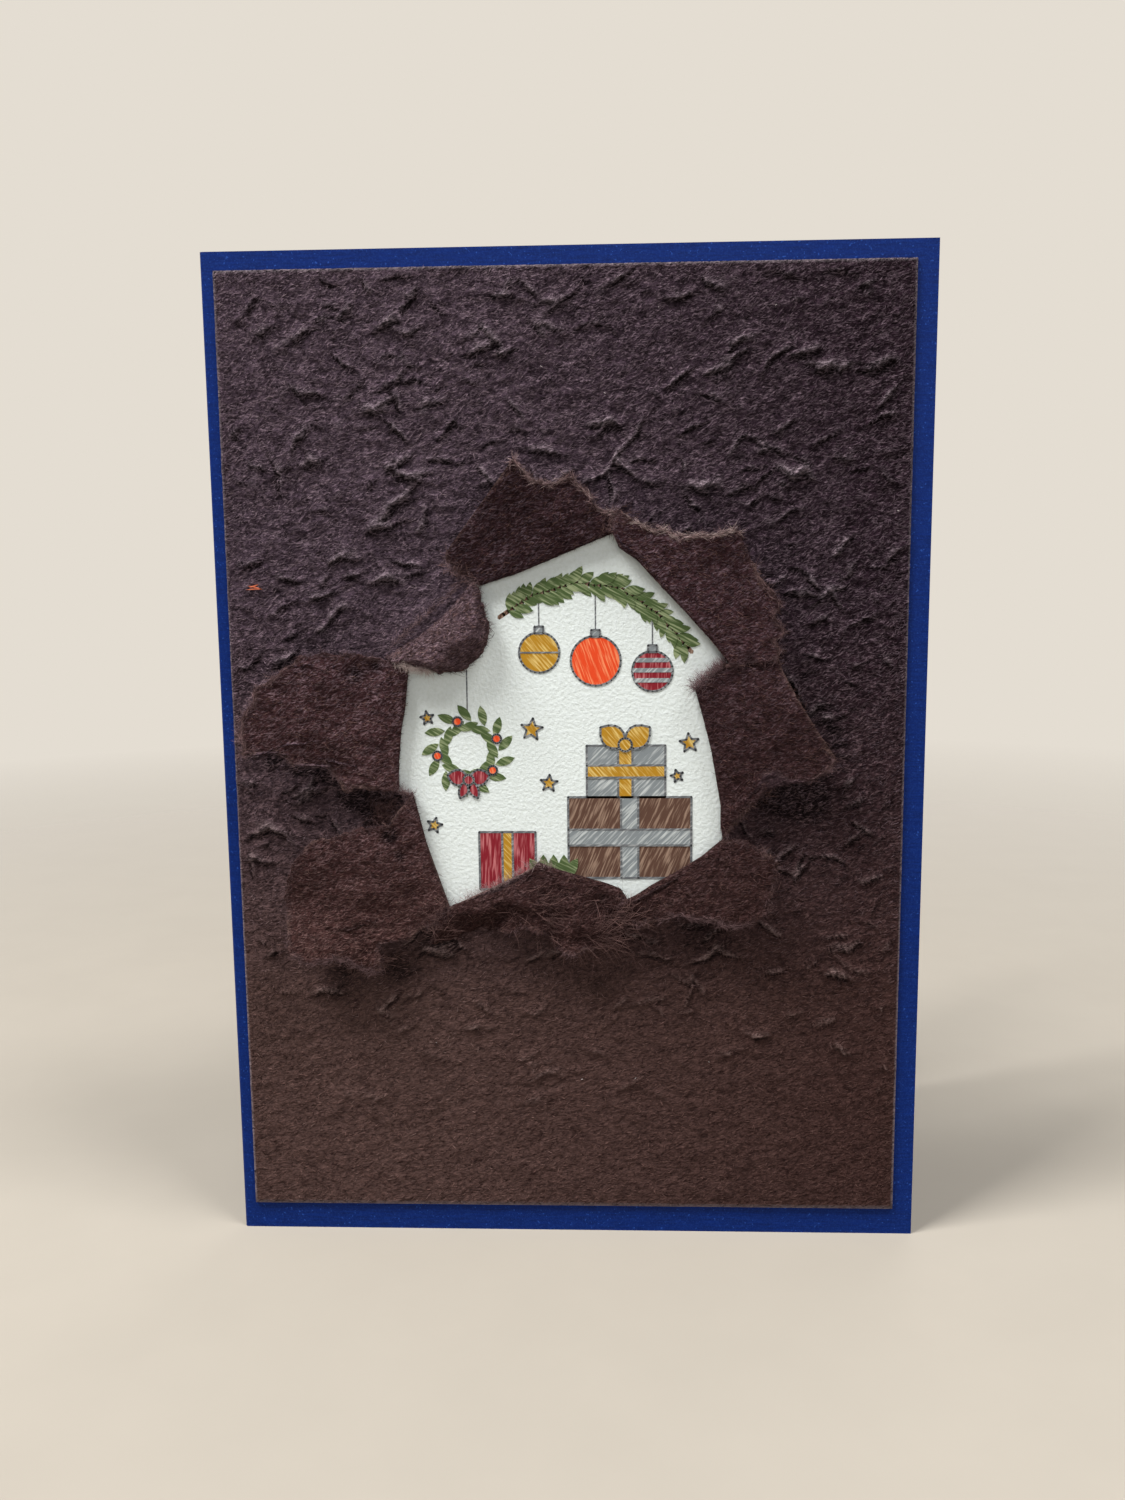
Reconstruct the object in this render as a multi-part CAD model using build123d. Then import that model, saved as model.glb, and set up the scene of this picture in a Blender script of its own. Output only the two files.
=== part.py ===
from build123d import *

import os
from math import cos, radians, sin

# Handmade greeting card. A sheet of navy board is folded once and stands half open on its lower
# edges. A small picture is glued to the front leaf, and a sheet of brown handmade paper covers
# leaf and picture. That paper is torn open over the picture, and the torn flaps are turned back.
# Millimetres, +Z up. The front faces -Y, the fold is at the left, and the origin is in the middle
# of the front leaf's lower edge.

# Folded board
leaf_width = 148.0  # from the fold to the free edge
leaf_height = 210.0
board = 0.4  # thickness
spine_radius = 0.4  # inside of the fold
opening_angle = 27.0  # degrees between the leaves

# Brown paper on the front leaf
margin_left = 2.8
margin_right = 4.3
margin_top = 3.8
margin_bottom = 6.1
paper = 0.5  # thickness
ramp_width = 4.0  # slope where the paper climbs over the picture's edge

# Picture behind the opening
picture_lap = 10.0  # hidden under the paper on each side of the opening
picture_thickness = 0.5
picture_clearance = 0.5  # from the picture's edge to the foot of the slope

# Opening torn in the paper
opening_width = 69.1
opening_height = 78.2
opening_from_left = 72.5  # from the fold to the opening's middle
opening_from_foot = 114.0  # from the lower edge to the opening's middle
flap_radius = 0.6  # inside of each turned-back fold

# Tongue of paper that curls out at the upper left
tongue_radius = 9.7
tongue_kick = 42.0  # degrees by which it leaves the sheet

# The tear is drawn about the opening's middle, clockwise from the upper left, and fitted to the
# opening's width and height.
tear = {
    "brow": (-16.7, 28.6),
    "peak": (10.6, 39.2),
    "shoulder": (34.5, 12.0),
    "nick": (27.7, 6.6),
    "elbow": (33.5, -24.7),
    "heel": (13.6, -38.0),
    "crest": (-5.3, -29.7),
    "toe": (-24.0, -39.0),
    "knee": (-31.8, -14.5),
    "hip": (-34.6, -14.0),
    "neck": (-31.8, 12.5),
}

# Torn edge of each flap, drawn in the same way, from the end of its crease round to the start.
top_edge = [
    (11.5, 43.4), (7.5, 44.2), (2.7, 50.4), (-2.0, 49.2), (-7.0, 51.3), (-9.1, 54.2), (-23.2, 35.7),
    (-20.9, 32.5),
]
upper_right_edge = [
    (40.9, 12.5), (44.3, 14.0), (43.6, 22.2), (44.7, 25.1), (38.6, 33.1), (35.9, 39.3), (26.2, 38.4),
    (17.4, 40.4), (11.5, 43.4),
]
right_edge = [
    (38.0, -19.0), (42.1, -13.1), (41.5, -10.2), (50.9, -11.6), (55.9, -6.9), (44.3, 12.3),
    (36.5, 10.8), (30.3, 8.4),
]
lower_right_edge = [
    (11.5, -39.6), (16.8, -42.5), (22.7, -40.8), (36.5, -42.8), (42.7, -39.0), (44.5, -29.0),
    (40.9, -25.8),
]
bottom_edge = [(-4.5, -38.0), (-3.5, -44.9), (-0.9, -48.4), (9.7, -47.2), (8.5, -41.0)]
bottom_left_edge = [
    (-28.5, -47.5), (-32.0, -49.7), (-26.5, -48.3), (-18.5, -45.5), (-8.5, -43.7), (-4.5, -42.0),
]
lower_left_edge = [
    (-35.0, -18.0), (-34.0, -25.5), (-39.0, -21.0), (-52.5, -24.0), (-58.5, -34.0), (-58.0, -48.0),
    (-51.0, -50.2), (-40.5, -53.2), (-39.5, -48.5), (-28.0, -43.0),
]
left_edge = [
    (-43.5, 15.0), (-53.5, 15.0), (-64.0, 5.0), (-66.5, -1.0), (-66.0, -5.5), (-58.5, -5.7),
    (-53.5, -8.2), (-49.0, -8.0), (-46.0, -14.0),
]
tongue_edge = [(-17.0, 26.5), (-14.9, 18.0), (-16.3, 14.5), (-19.0, 11.3), (-25.0, 10.8)]

# Each flap turns back about the crease between two points of the tear and rises from the sheet by
# a few degrees.
flaps = [
    ("brow", "peak", 4.0, top_edge),
    ("peak", "shoulder", 5.0, upper_right_edge),
    ("nick", "elbow", 5.0, right_edge),
    ("elbow", "heel", 6.0, lower_right_edge),
    ("heel", "crest", 7.0, bottom_edge),
    ("crest", "toe", 5.0, bottom_left_edge),
    ("toe", "knee", 3.0, lower_left_edge),
    ("hip", "neck", 3.0, left_edge),
]

# Sizes that follow from those above. On the front leaf, x runs from the fold, y up from the lower
# edge and z out towards the viewer.
front = Plane(origin=(-leaf_width / 2, -board / 2, 0), x_dir=(1, 0, 0), z_dir=(0, -1, 0))
out = Vector(0, 0, 1)
opening_middle = Vector(opening_from_left, opening_from_foot)
picture_width = opening_width + 2 * picture_lap
picture_height = opening_height + 2 * picture_lap
panel_width = leaf_width - margin_left - margin_right
panel_height = leaf_height - margin_bottom - margin_top
panel_face = picture_thickness + paper  # front of the paper where it lies over the picture
fold_depth = flap_radius + paper  # from a fold's outermost line to the middle of its bend
flap_root = 2 * fold_depth  # stretch of each flap that lies in the sheet
cutter_height = opening_width  # no flap stands out further than the opening is wide


def polar(angle, length=1.0):
    return Vector(cos(radians(angle)), sin(radians(angle))) * length


def fitted(point):
    # A point of the drawn tear, brought to the opening's size and place.
    xs, ys = zip(*tear.values())
    across = opening_width / (max(xs) - min(xs))
    up = opening_height / (max(ys) - min(ys))
    return opening_middle + Vector(point[0] * across, point[1] * up)


def folded_section(thickness, radius, angle, before, after):
    # Section of a sheet folded once about the local origin: it comes in below along -X, turns, and
    # leaves at the given angle above +X.
    def skin(r):
        bend_end = polar(90 + angle, r)
        bend_middle = polar(180 + angle / 2, r)
        run_in = Line((before, -r), (0, -r))
        bend = ThreePointArc((0, -r), bend_middle, bend_end)
        run_out = Line(bend_end, bend_end + polar(angle, after))
        return [run_in, bend, run_out]

    inner = skin(radius)
    outer = skin(radius + thickness)
    ends = [Line(inner[0] @ 0, outer[0] @ 0), Line(inner[2] @ 1, outer[2] @ 1)]
    return make_face(inner + outer + ends)


def curled_section(thickness, radius, kick, before):
    # Section of a sheet that leaves its plane at the kick angle and arches over along -X.
    bend_middle = Vector(0, -thickness) - polar(90 - kick, radius)
    ring = Circle(radius + thickness) - Circle(radius)
    reach = 2 * (radius + thickness)
    wedge = Polygon(
        (0, 0), polar(90 - kick, reach), polar(90, reach), polar(90 + kick, reach), align=None
    )
    root = Pos(before / 2, -thickness / 2) * Rectangle(before, thickness)
    return Pos(bend_middle.X, bend_middle.Y) * (ring & wedge) + root


def along_crease(section, start, end, edge, inset, height):
    # Carry a section along a crease, with its +X pointing away from the opening, and past the
    # crease's ends as far as the torn edge reaches.
    course = (end - start).normalized()
    away = out.cross(course)
    reaches = [(point - start).dot(course) for point in edge + [start, end]]
    first = min(reaches) - paper
    last = max(reaches) + paper
    origin = start + course * first + away * inset + out * height
    place = Plane(origin=origin, x_dir=away, z_dir=course)
    return extrude(place * section, amount=last - first, dir=course)


def torn_cutter(start, end, edge, overhang):
    # Prism whose outline is the torn edge, closed beyond the crease by the overhang.
    beyond = out.cross((end - start).normalized()) * overhang
    base = make_face(Polyline(start - beyond, end - beyond, *edge, close=True))
    return extrude(Pos(0, 0, picture_thickness) * base, amount=cutter_height)


def make_flap(first, last, lift, drawn_edge):
    start = fitted(tear[first])
    end = fitted(tear[last])
    edge = [fitted(point) for point in drawn_edge]
    away = out.cross((end - start).normalized())
    reach = max((point - start).dot(away) for point in edge)
    section = folded_section(paper, flap_radius, lift, flap_root, reach)
    sheet = along_crease(section, start, end, edge, fold_depth, panel_face + flap_radius)
    return sheet & torn_cutter(start, end, edge, fold_depth)


def make_tongue():
    start = fitted(tear["neck"])
    end = fitted(tear["brow"])
    edge = [fitted(point) for point in tongue_edge]
    section = curled_section(paper, tongue_radius, tongue_kick, flap_root)
    sheet = along_crease(section, start, end, edge, fold_depth, panel_face)
    backing = out.cross((end - start).normalized()) * (fold_depth + flap_root)
    return sheet & torn_cutter(start + backing, end + backing, edge, 0)


def make_folded_card():
    spine = spine_radius + board
    run = leaf_width - spine
    section = folded_section(board, spine_radius, opening_angle, run, run)
    place = Pos(spine - leaf_width / 2, spine_radius + board / 2)
    return extrude(place * section, amount=leaf_height)


def round_picture(gap):
    # Rectangle that stands off the picture's edges by the gap.
    sides = (picture_width + 2 * gap, picture_height + 2 * gap)
    return Pos(*opening_middle) * Rectangle(*sides)


def make_picture_card():
    return front * extrude(round_picture(0), amount=picture_thickness)


def make_torn_panel():
    # The sheet lies flat on the leaf and climbs over the picture, so the space under the raised
    # part has the same form as the hump above it, one thickness lower.
    sheet = Pos(margin_left, margin_bottom) * Rectangle(panel_width, panel_height, align=Align.MIN)
    slope_foot = round_picture(picture_clearance + ramp_width)
    slope_top = Pos(0, 0, picture_thickness) * round_picture(picture_clearance)
    raised = loft([slope_foot, slope_top], ruled=True)
    outline = make_face(Polyline(*[fitted(point) for point in tear.values()], close=True))
    hole = extrude(offset(outline, fold_depth, kind=Kind.INTERSECTION), amount=cutter_height)
    panel = extrude(sheet, amount=paper) + Pos(0, 0, paper) * raised - raised - hole
    for flap in flaps:
        panel += make_flap(*flap)
    return front * (panel + make_tongue())


nodes = {
    "folded_card": make_folded_card(),
    "picture_card": make_picture_card(),
    "torn_panel": make_torn_panel(),
}
os.makedirs("parts", exist_ok=True)
for name, solid in nodes.items():
    export_step(solid, f"parts/{name}.step")
    print(name, len(solid.solids()), "solid", round(solid.volume, 1), "mm3")
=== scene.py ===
import math

import bpy
import numpy as np
from mathutils import Euler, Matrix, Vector


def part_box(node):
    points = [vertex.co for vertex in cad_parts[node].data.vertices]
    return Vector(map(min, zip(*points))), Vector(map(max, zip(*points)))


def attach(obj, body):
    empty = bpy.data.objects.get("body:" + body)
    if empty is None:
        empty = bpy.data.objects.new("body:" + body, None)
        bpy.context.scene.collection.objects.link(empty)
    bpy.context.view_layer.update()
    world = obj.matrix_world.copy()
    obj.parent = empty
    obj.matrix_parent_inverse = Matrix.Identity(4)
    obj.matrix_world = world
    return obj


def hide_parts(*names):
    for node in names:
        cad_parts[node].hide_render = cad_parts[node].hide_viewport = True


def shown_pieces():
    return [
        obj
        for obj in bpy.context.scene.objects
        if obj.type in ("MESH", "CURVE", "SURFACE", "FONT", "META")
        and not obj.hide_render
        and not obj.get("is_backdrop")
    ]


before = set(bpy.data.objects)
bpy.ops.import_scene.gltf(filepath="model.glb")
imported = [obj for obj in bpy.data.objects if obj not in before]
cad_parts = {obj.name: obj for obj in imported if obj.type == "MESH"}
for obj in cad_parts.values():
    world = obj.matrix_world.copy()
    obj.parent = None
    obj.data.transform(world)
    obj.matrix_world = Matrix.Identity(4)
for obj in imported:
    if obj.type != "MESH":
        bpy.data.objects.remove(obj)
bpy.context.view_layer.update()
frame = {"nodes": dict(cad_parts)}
print("frame loaded:", ", ".join(frame["nodes"]))

# A standing greeting card: navy board, a small picture, and brown handmade paper torn open over it.
# Shapes are worked out in millimetres on the front leaf: across and up from the middle of the
# opening, and out from the board's face. onCard turns them into metres in the card's own frame.

sheetLow, sheetHigh = [np.array(corner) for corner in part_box("torn_panel")]
pictureLow, pictureHigh = [np.array(corner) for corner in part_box("picture_card")]
middle = (pictureLow + pictureHigh) / 2
boardFace = pictureHigh[1]
pictureFace = (pictureHigh[1] - pictureLow[1]) * 1000

place = {
    "paper": 0.5,  # thickness of the brown sheet
    "foldRadius": 1.1,  # outside radius of a turned-back fold
    "rampWidth": 4.0,  # where the sheet climbs over the picture's edge
    "left": (sheetLow[0] - middle[0]) * 1000,
    "right": (sheetHigh[0] - middle[0]) * 1000,
    "foot": (sheetLow[2] - middle[2]) * 1000,
    "head": (sheetHigh[2] - middle[2]) * 1000,
    "pictureHalf": ((pictureHigh - pictureLow) / 2 * 1000)[[0, 2]],
}
place["face"] = pictureFace + place["paper"]  # front of the sheet over the picture


def onCard(across, up, out):
    x = middle[0] + np.asarray(across) / 1000
    y = boardFace - np.asarray(out) / 1000
    z = middle[2] + np.asarray(up) / 1000
    return np.stack(np.broadcast_arrays(x, y, z), axis=-1)


# Helpers for arrays


def smooth(value, low, high):
    # 0 below low, 1 above high, and an even S between them.
    t = np.clip((value - low) / (high - low), 0, 1)
    return t * t * (3 - 2 * t)


lattice = {"corners": 128, "gain": 1.6}


def bumpNoise(across, up, cell, seed):
    # Gradient noise: each lattice corner has a slope, and the slopes are blended over the cell.
    size = lattice["corners"]
    angles = np.random.default_rng(seed).random((size, size)) * math.tau
    gx, gy = across / cell, up / cell
    ix, iy = np.floor(gx).astype(int), np.floor(gy).astype(int)
    fx, fy = gx - ix, gy - iy
    wx, wy = smooth(fx, 0, 1), smooth(fy, 0, 1)
    corners = []
    for dy in (0, 1):
        for dx in (0, 1):
            angle = angles[(ix + dx) % size, (iy + dy) % size]
            corners.append(np.cos(angle) * (fx - dx) + np.sin(angle) * (fy - dy))
    low = corners[0] + (corners[1] - corners[0]) * wx
    high = corners[2] + (corners[3] - corners[2]) * wx
    return (low + (high - low) * wy) * lattice["gain"]


def layeredNoise(across, up, waves, seed):
    # Sum of noises, each with its own cell and height.
    return sum(high * bumpNoise(across, up, cell, seed + k) for k, (cell, high) in enumerate(waves))


def partWay(least, value, low, high):
    # Rises from least to 1 as the value passes from low to high.
    return least + (1 - least) * smooth(value, low, high)


def alongLine(points, share):
    # Points at equal shares of a line's length.
    points = np.asarray(points, float)
    steps = np.linalg.norm(np.diff(points, axis=0), axis=1)
    reach = np.concatenate([[0], np.cumsum(steps)]) / steps.sum()
    return np.stack([np.interp(share, reach, points[:, k]) for k in range(points.shape[1])], -1)


def unit(vectors):
    return vectors / np.maximum(np.linalg.norm(vectors, axis=-1, keepdims=True), 1e-12)


def slanted(angle, out=0.0):
    # Directions on the card's face at the given angles, tipped out of it.
    return np.stack([np.cos(angle), out + 0 * angle, np.sin(angle)], -1)


def facingOut(lie):
    # For hairs that lie any way, the normal that is nearest to the card's own.
    return unit(np.cross(lie, np.stack([-lie[:, 2], 0 * lie[:, 0], lie[:, 0]], -1)))


def gridNormals(grid, around=False):
    # Cross product of the grid's two directions at each point.
    if around:
        across = np.roll(grid, -1, 1) - np.roll(grid, 1, 1)
    else:
        across = np.gradient(grid, axis=1)
    return unit(np.cross(across, np.gradient(grid, axis=0)))


def gridQuads(rows, columns, around=False):
    # Point numbers of each cell's four corners; around joins the last column to the first.
    number = np.arange(rows * columns).reshape(rows, columns)
    if around:
        number = np.concatenate([number, number[:, :1]], axis=1)
    corners = [number[:-1, :-1], number[:-1, 1:], number[1:, 1:], number[1:, :-1]]
    return np.stack(corners, -1).reshape(-1, 4)


def makePiece(name, points, faces, material, marks=None):
    # One mesh from whole arrays. marks are numbers per point that the materials read by name.
    mesh = bpy.data.meshes.new(name)
    points = np.ascontiguousarray(points.reshape(-1, 3), dtype=np.float32)
    faces = np.ascontiguousarray(faces, dtype=np.int32)
    mesh.vertices.add(len(points))
    mesh.vertices.foreach_set("co", points.ravel())
    mesh.loops.add(faces.size)
    mesh.loops.foreach_set("vertex_index", faces.ravel())
    mesh.polygons.add(len(faces))
    mesh.polygons.foreach_set("loop_start", np.arange(0, faces.size, faces.shape[1], dtype=np.int32))
    mesh.update(calc_edges=True)
    mesh.polygons.foreach_set("use_smooth", np.ones(len(faces), bool))
    for mark, values in (marks or {}).items():
        layer = mesh.attributes.new(mark, "FLOAT", "POINT")
        layer.data.foreach_set("value", np.ascontiguousarray(values, dtype=np.float32).ravel())
    mesh.materials.append(material)
    piece = bpy.data.objects.new(name, mesh)
    bpy.context.scene.collection.objects.link(piece)
    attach(piece, "root")
    print(f"  {name}: {len(points)} points, {len(faces)} faces")
    return piece


# Material helpers


class Nodes:
    def __init__(self, name):
        self.material = bpy.data.materials.new(name)
        self.material.use_nodes = True
        self.tree = self.material.node_tree
        self.shader = self.tree.nodes["Principled BSDF"]
        self.objectPlace = self.add("ShaderNodeTexCoord").outputs["Object"]

    def add(self, kind, inputs=None, **settings):
        node = self.tree.nodes.new(kind)
        for key, value in settings.items():
            setattr(node, key, value)
        for key, value in (inputs or {}).items():
            self.put(node.inputs[key], value)
        return node

    def put(self, socket, value):
        if isinstance(value, bpy.types.NodeSocket):
            self.tree.links.new(value, socket)
        else:
            socket.default_value = value

    def mapped(self, cell, turn=(0, 0, 0), shift=(0, 0, 0)):
        # Turned first and then measured in cells of the given size, in metres.
        inputs = {"Vector": self.objectPlace, "Scale": cell, "Rotation": turn, "Location": shift}
        return self.add("ShaderNodeMapping", inputs, vector_type="TEXTURE").outputs["Vector"]

    def noise(self, scale, detail=3.0, place=None, roughness=0.55):
        inputs = {"Vector": place or self.objectPlace, "Scale": scale, "Detail": detail}
        inputs["Roughness"] = roughness
        return self.add("ShaderNodeTexNoise", inputs).outputs["Fac"]

    def mark(self, name):
        return self.add("ShaderNodeAttribute", attribute_name=name).outputs["Fac"]

    def ramp(self, value, low, high, toLow=0.0, toHigh=1.0):
        inputs = {"Value": value, "From Min": low, "From Max": high, "To Min": toLow, "To Max": toHigh}
        return self.add("ShaderNodeMapRange", inputs).outputs["Result"]

    def math(self, operation, first, second):
        node = self.add("ShaderNodeMath", {0: first, 1: second}, operation=operation)
        return node.outputs["Value"]

    def mix(self, share, first, second, blend="MIX"):
        # Sockets 6 and 7 and output 2 are the colours of this node.
        node = self.add("ShaderNodeMix", {0: share}, data_type="RGBA", blend_type=blend)
        self.put(node.inputs[6], first)
        self.put(node.inputs[7], second)
        return node.outputs[2]

    def bump(self, height, distance, strength=1.0, under=None):
        inputs = {"Height": height, "Distance": distance, "Strength": strength}
        if under is not None:
            inputs["Normal"] = under
        return self.add("ShaderNodeBump", inputs).outputs["Normal"]

    def set(self, **values):
        for key, value in values.items():
            self.put(self.shader.inputs[key.replace("_", " ")], value)
        return self.material


def tint(red, green, blue):
    # A colour as read on screen, 0 to 255, made linear.
    screen = np.array([red, green, blue]) / 255
    linear = np.where(screen <= 0.04045, screen / 12.92, ((screen + 0.055) / 1.055) ** 2.4)
    return (*linear.tolist(), 1.0)


# Brown handmade paper

brownPaper = {
    "front": tint(88, 72, 83),
    "frontRight": tint(53, 38, 47),  # the sheet is a little darker towards its right side
    "foot": tint(85, 65, 61),
    "footRight": tint(66, 46, 43),
    "reverse": tint(60, 39, 42),
    "reverseFoot": tint(62, 41, 38),
    # the dark brown that the painted shade mixes towards
    "dark": tint(18, 12, 13),
    "frayed": tint(108, 86, 80),
    "cut": tint(140, 127, 132),
    "crest": (tint(176, 157, 164), tint(152, 127, 122)),  # painted highlight on the wrinkles' crests, at the head and at the foot
    "coolFibre": (tint(40, 29, 35), tint(152, 130, 140)),
    "warmFibre": (tint(40, 24, 23), tint(136, 104, 97)),
    "paleFibre": tint(202, 184, 176),
    "streak": (0.0013, 0.0013, 0.0003),
    "streakTurns": (-0.35, 0.1, -0.75),
    "lump": (0.0022, 0.0016, 0.0009),
    "lumpTurn": -0.4,
    "creaseCells": (210, 460),
    "step": (0.0030, 0.0024, 0.0013),  # small overlapping layers of pulp
    "stepTurn": -0.3,
    "rightward": (-0.03, 0.06),  # where the colour changes across the sheet, in metres
    "footward": (0.14, 0.055),  # and down it
    "bumps": {"steps": 0.00065, "folds": 0.00105, "lumps": 0.0018, "streaks": 0.0011},
}


def brownPaperMaterial():
    # The front is purple-grey, warmer towards the foot and darker to the right; the reverse is a
    # warmer brown, torn edges are pale. Streaks turned three ways stand for the matted fibres.
    n = Nodes("brownPaper")
    streaks = []
    for k, turn in enumerate(brownPaper["streakTurns"]):
        at = n.mapped(brownPaper["streak"], (0, turn, 0), (0.03 * k, 0, 0))
        streaks.append(n.noise(1.0, 2.0, at, 0.55))
    matted = n.math("MAXIMUM", n.math("MAXIMUM", streaks[0], streaks[1]), streaks[2])
    lumps = n.noise(1.0, 4.0, n.mapped(brownPaper["lump"], (0, brownPaper["lumpTurn"], 0)), 0.6)
    creases = []
    for cells in brownPaper["creaseCells"]:
        wander = n.noise(cells, 2.0)
        creases.append(n.ramp(n.math("ABSOLUTE", n.math("SUBTRACT", wander, 0.5), 0.0), 0.0, 0.09))
    crease = n.math("ADD", n.math("MULTIPLY", creases[0], 0.5), n.math("MULTIPLY", creases[1], 0.5))
    layers = n.noise(1.0, 3.0, n.mapped(brownPaper["step"], (0, brownPaper["stepTurn"], 0)), 0.6)
    steps = n.math("ADD", n.ramp(layers, 0.41, 0.45), n.ramp(layers, 0.53, 0.57))
    spot = n.add("ShaderNodeSeparateXYZ", {0: n.objectPlace})
    rightward = n.ramp(spot.outputs["X"], *brownPaper["rightward"])
    footward = n.ramp(spot.outputs["Z"], *brownPaper["footward"])
    upper = n.mix(rightward, brownPaper["front"], brownPaper["frontRight"])
    lower = n.mix(rightward, brownPaper["foot"], brownPaper["footRight"])
    front = n.mix(footward, upper, lower)
    back = n.mix(footward, brownPaper["reverse"], brownPaper["reverseFoot"])
    face = n.mix(n.mark("reverse"), front, back)
    relief = n.mark("relief")
    # Painted shade: darker in the bump's low lumps and along its crease lines, and wherever the mark of
    # painted shade for furrows, spots and creases is set.
    lumpShade = n.ramp(lumps, 0.32, 0.56, 0.8, 0.0)
    lumpShade = n.math("MULTIPLY", lumpShade, n.ramp(relief, 0.2, 0.9, 0.4, 1.0))
    creaseShade = n.ramp(creases[1], 0.0, 0.6, 0.6, 0.0)
    creaseShade = n.math("MULTIPLY", creaseShade, n.ramp(relief, 0.3, 0.9, 0.2, 1.0))
    paintedShade = n.ramp(n.mark("paintedShade"), 0.06, 0.45, 0.0, 0.92)
    paintedDarkening = n.math("MAXIMUM", n.math("MAXIMUM", lumpShade, creaseShade), paintedShade)
    mottled = n.mix(paintedDarkening, face, brownPaper["dark"])
    shade = n.ramp(matted, 0.56, 0.73, 0.0, 0.85)
    shade = n.math("MULTIPLY", shade, n.ramp(relief, 0.3, 0.9, 0.3, 1.0))
    dimmed = n.math("MULTIPLY", shade, n.ramp(rightward, 0.0, 1.0, 1.0, 0.7))
    strand = n.mix(footward, brownPaper["coolFibre"][1], brownPaper["warmFibre"][1])
    streaked = n.mix(dimmed, mottled, strand)
    # Crests of the relief are painted lighter: a painted highlight.
    crest = n.ramp(n.mark("ridge"), 0.25, 0.9, 0.0, 0.78)
    ridge = n.math("MULTIPLY", crest, n.ramp(matted, 0.48, 0.7, 0.1, 1.0))
    wearAndPaintedHighlight = n.mix(ridge, streaked, n.mix(footward, *brownPaper["crest"]))
    pale = n.math("MULTIPLY", n.mark("frayed"), n.ramp(matted, 0.45, 0.7, 0.25, 1.0))
    torn = n.mix(pale, wearAndPaintedHighlight, brownPaper["frayed"])
    # Each flap and the tongue has its own level that scales its colour: above 0 painted shade, below 0
    # painted light, for how the light falls on it.
    toned = n.mix(1.0, torn, n.ramp(n.mark("paintedShading"), -1.0, 1.0, 2.0, 0.0), "MULTIPLY")
    colour = n.mix(n.mark("cut"), toned, brownPaper["cut"])
    normal = None
    for high, pattern in zip(brownPaper["bumps"].values(), (steps, crease, lumps, matted)):
        normal = n.bump(n.math("MULTIPLY", pattern, relief), high, 1.0, normal)
    return n.set(Base_Color=colour, Roughness=0.95, Normal=normal, Specular_IOR_Level=0.03)


def fibreMaterial():
    # Each fibre has its own shade, dark to light and past 1 to pale, and its own warmth.
    n = Nodes("paperFibre")
    shade = n.mark("shade")
    cool = n.mix(shade, *brownPaper["coolFibre"])
    warm = n.mix(shade, *brownPaper["warmFibre"])
    colour = n.mix(n.ramp(shade, 1.0, 2.0), n.mix(n.mark("warm"), cool, warm), brownPaper["paleFibre"])
    return n.set(Base_Color=colour, Roughness=0.9, Specular_IOR_Level=0.03)


# Torn opening, read clockwise from the upper left as seen from the front, in millimetres

tear = {
    "brow": (-16.7, 28.6),
    "peak": (10.6, 39.2),
    "shoulder": (34.5, 12.0),
    "nick": (27.7, 6.6),
    "elbow": (33.5, -24.7),
    "heel": (13.6, -38.0),
    "crest": (-5.3, -29.7),
    "toe": (-24.0, -39.0),
    "knee": (-31.8, -14.5),
    "hip": (-34.6, -14.0),
    "neck": (-31.8, 12.5),
}

panel = {
    "columns": 880,
    "upward": 0.35,  # columns stand closer in the upper half, where the wrinkles are sharper
    "rows": 100,
    "lumpSize": 6.0,
    "lumpHeight": 0.34,
    "grainSize": 2.2,
    "grainHeight": 0.28,
    "wrinkles": 1500,
    "wrinkleHeight": (0.12, 1.15),
    "wrinkleLength": (1.6, 8.0),
    "wrinkleWidth": (0.19, 0.42),  # below and above the crest, on a wrinkle of middling length
    "crossing": 0.28,  # share of the wrinkles that run the other way
    "sway": ((5.5, 1.1), (2.1, 0.4)),  # cell and reach of the waves that bend the wrinkles
    "swaySeeds": (31, 33),
    "footStrength": (0.34, -75, 35),  # the lumps fade towards the foot: least strength, from and to
    # Wrinkles and the painted shade in their furrows fade too: heights on the sheet, and the strength at
    # each.
    "wrinkleFade": ((-105, -82, -62, 35, 70), (0.15, 0.42, 0.85, 1.0, 1.15)),
    "furrowShadeFade": ((-72, -30), (0.35, 1.0)),
    "edgeHold": (0.35, 0, 4),  # the relief is held down at the cut edge
    "tearLift": 0.7,  # the sheet stands off the picture next to the tear
    "tearReach": 9,
    "lip": 0.9,  # and more above the tongue
    "lipEnds": ((-33.5, 16.0), (-19.5, 29.0)),
    "lipReach": (1.0, 6.5),
    "lipCalm": (0.3, 2, 9),  # where it is smoother
    "base": 0.15,  # height of the relief's level over the sheet, and the lowest it may go
    "lowest": -0.05,
    "backGap": 0.02,
    "shadeSpots": [  # painted shadow under, beside and between the flaps, as soft dark spots: x, y, size, depth
        (-38.5, -18.0, 4.5, 0.6), (44.0, -15.0, 5.5, 0.6), (51.0, -16.0, 5.0, 0.9),
        (-27.0, -45.5, 4.0, 0.6), (12.0, -44.0, 4.0, 0.5), (43.0, 33.0, 4.0, 0.3), (53.5, 3.0, 3.5, 0.4),
        (57.0, -4.0, 3.5, 0.4), (30.0, -45.0, 6.0, 0.3), (-48.0, -54.5, 6.0, 0.4), (-36.0, -54.0, 5.0, 0.4),
        (-62.0, -8.0, 2.4, 0.55), (-56.0, -9.5, 2.6, 0.65), (-50.0, -11.0, 2.6, 0.7),
        (-46.0, -16.0, 2.6, 0.7), (-41.0, -17.0, 2.6, 0.7),
    ],
    "seed": 11,
}


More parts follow.
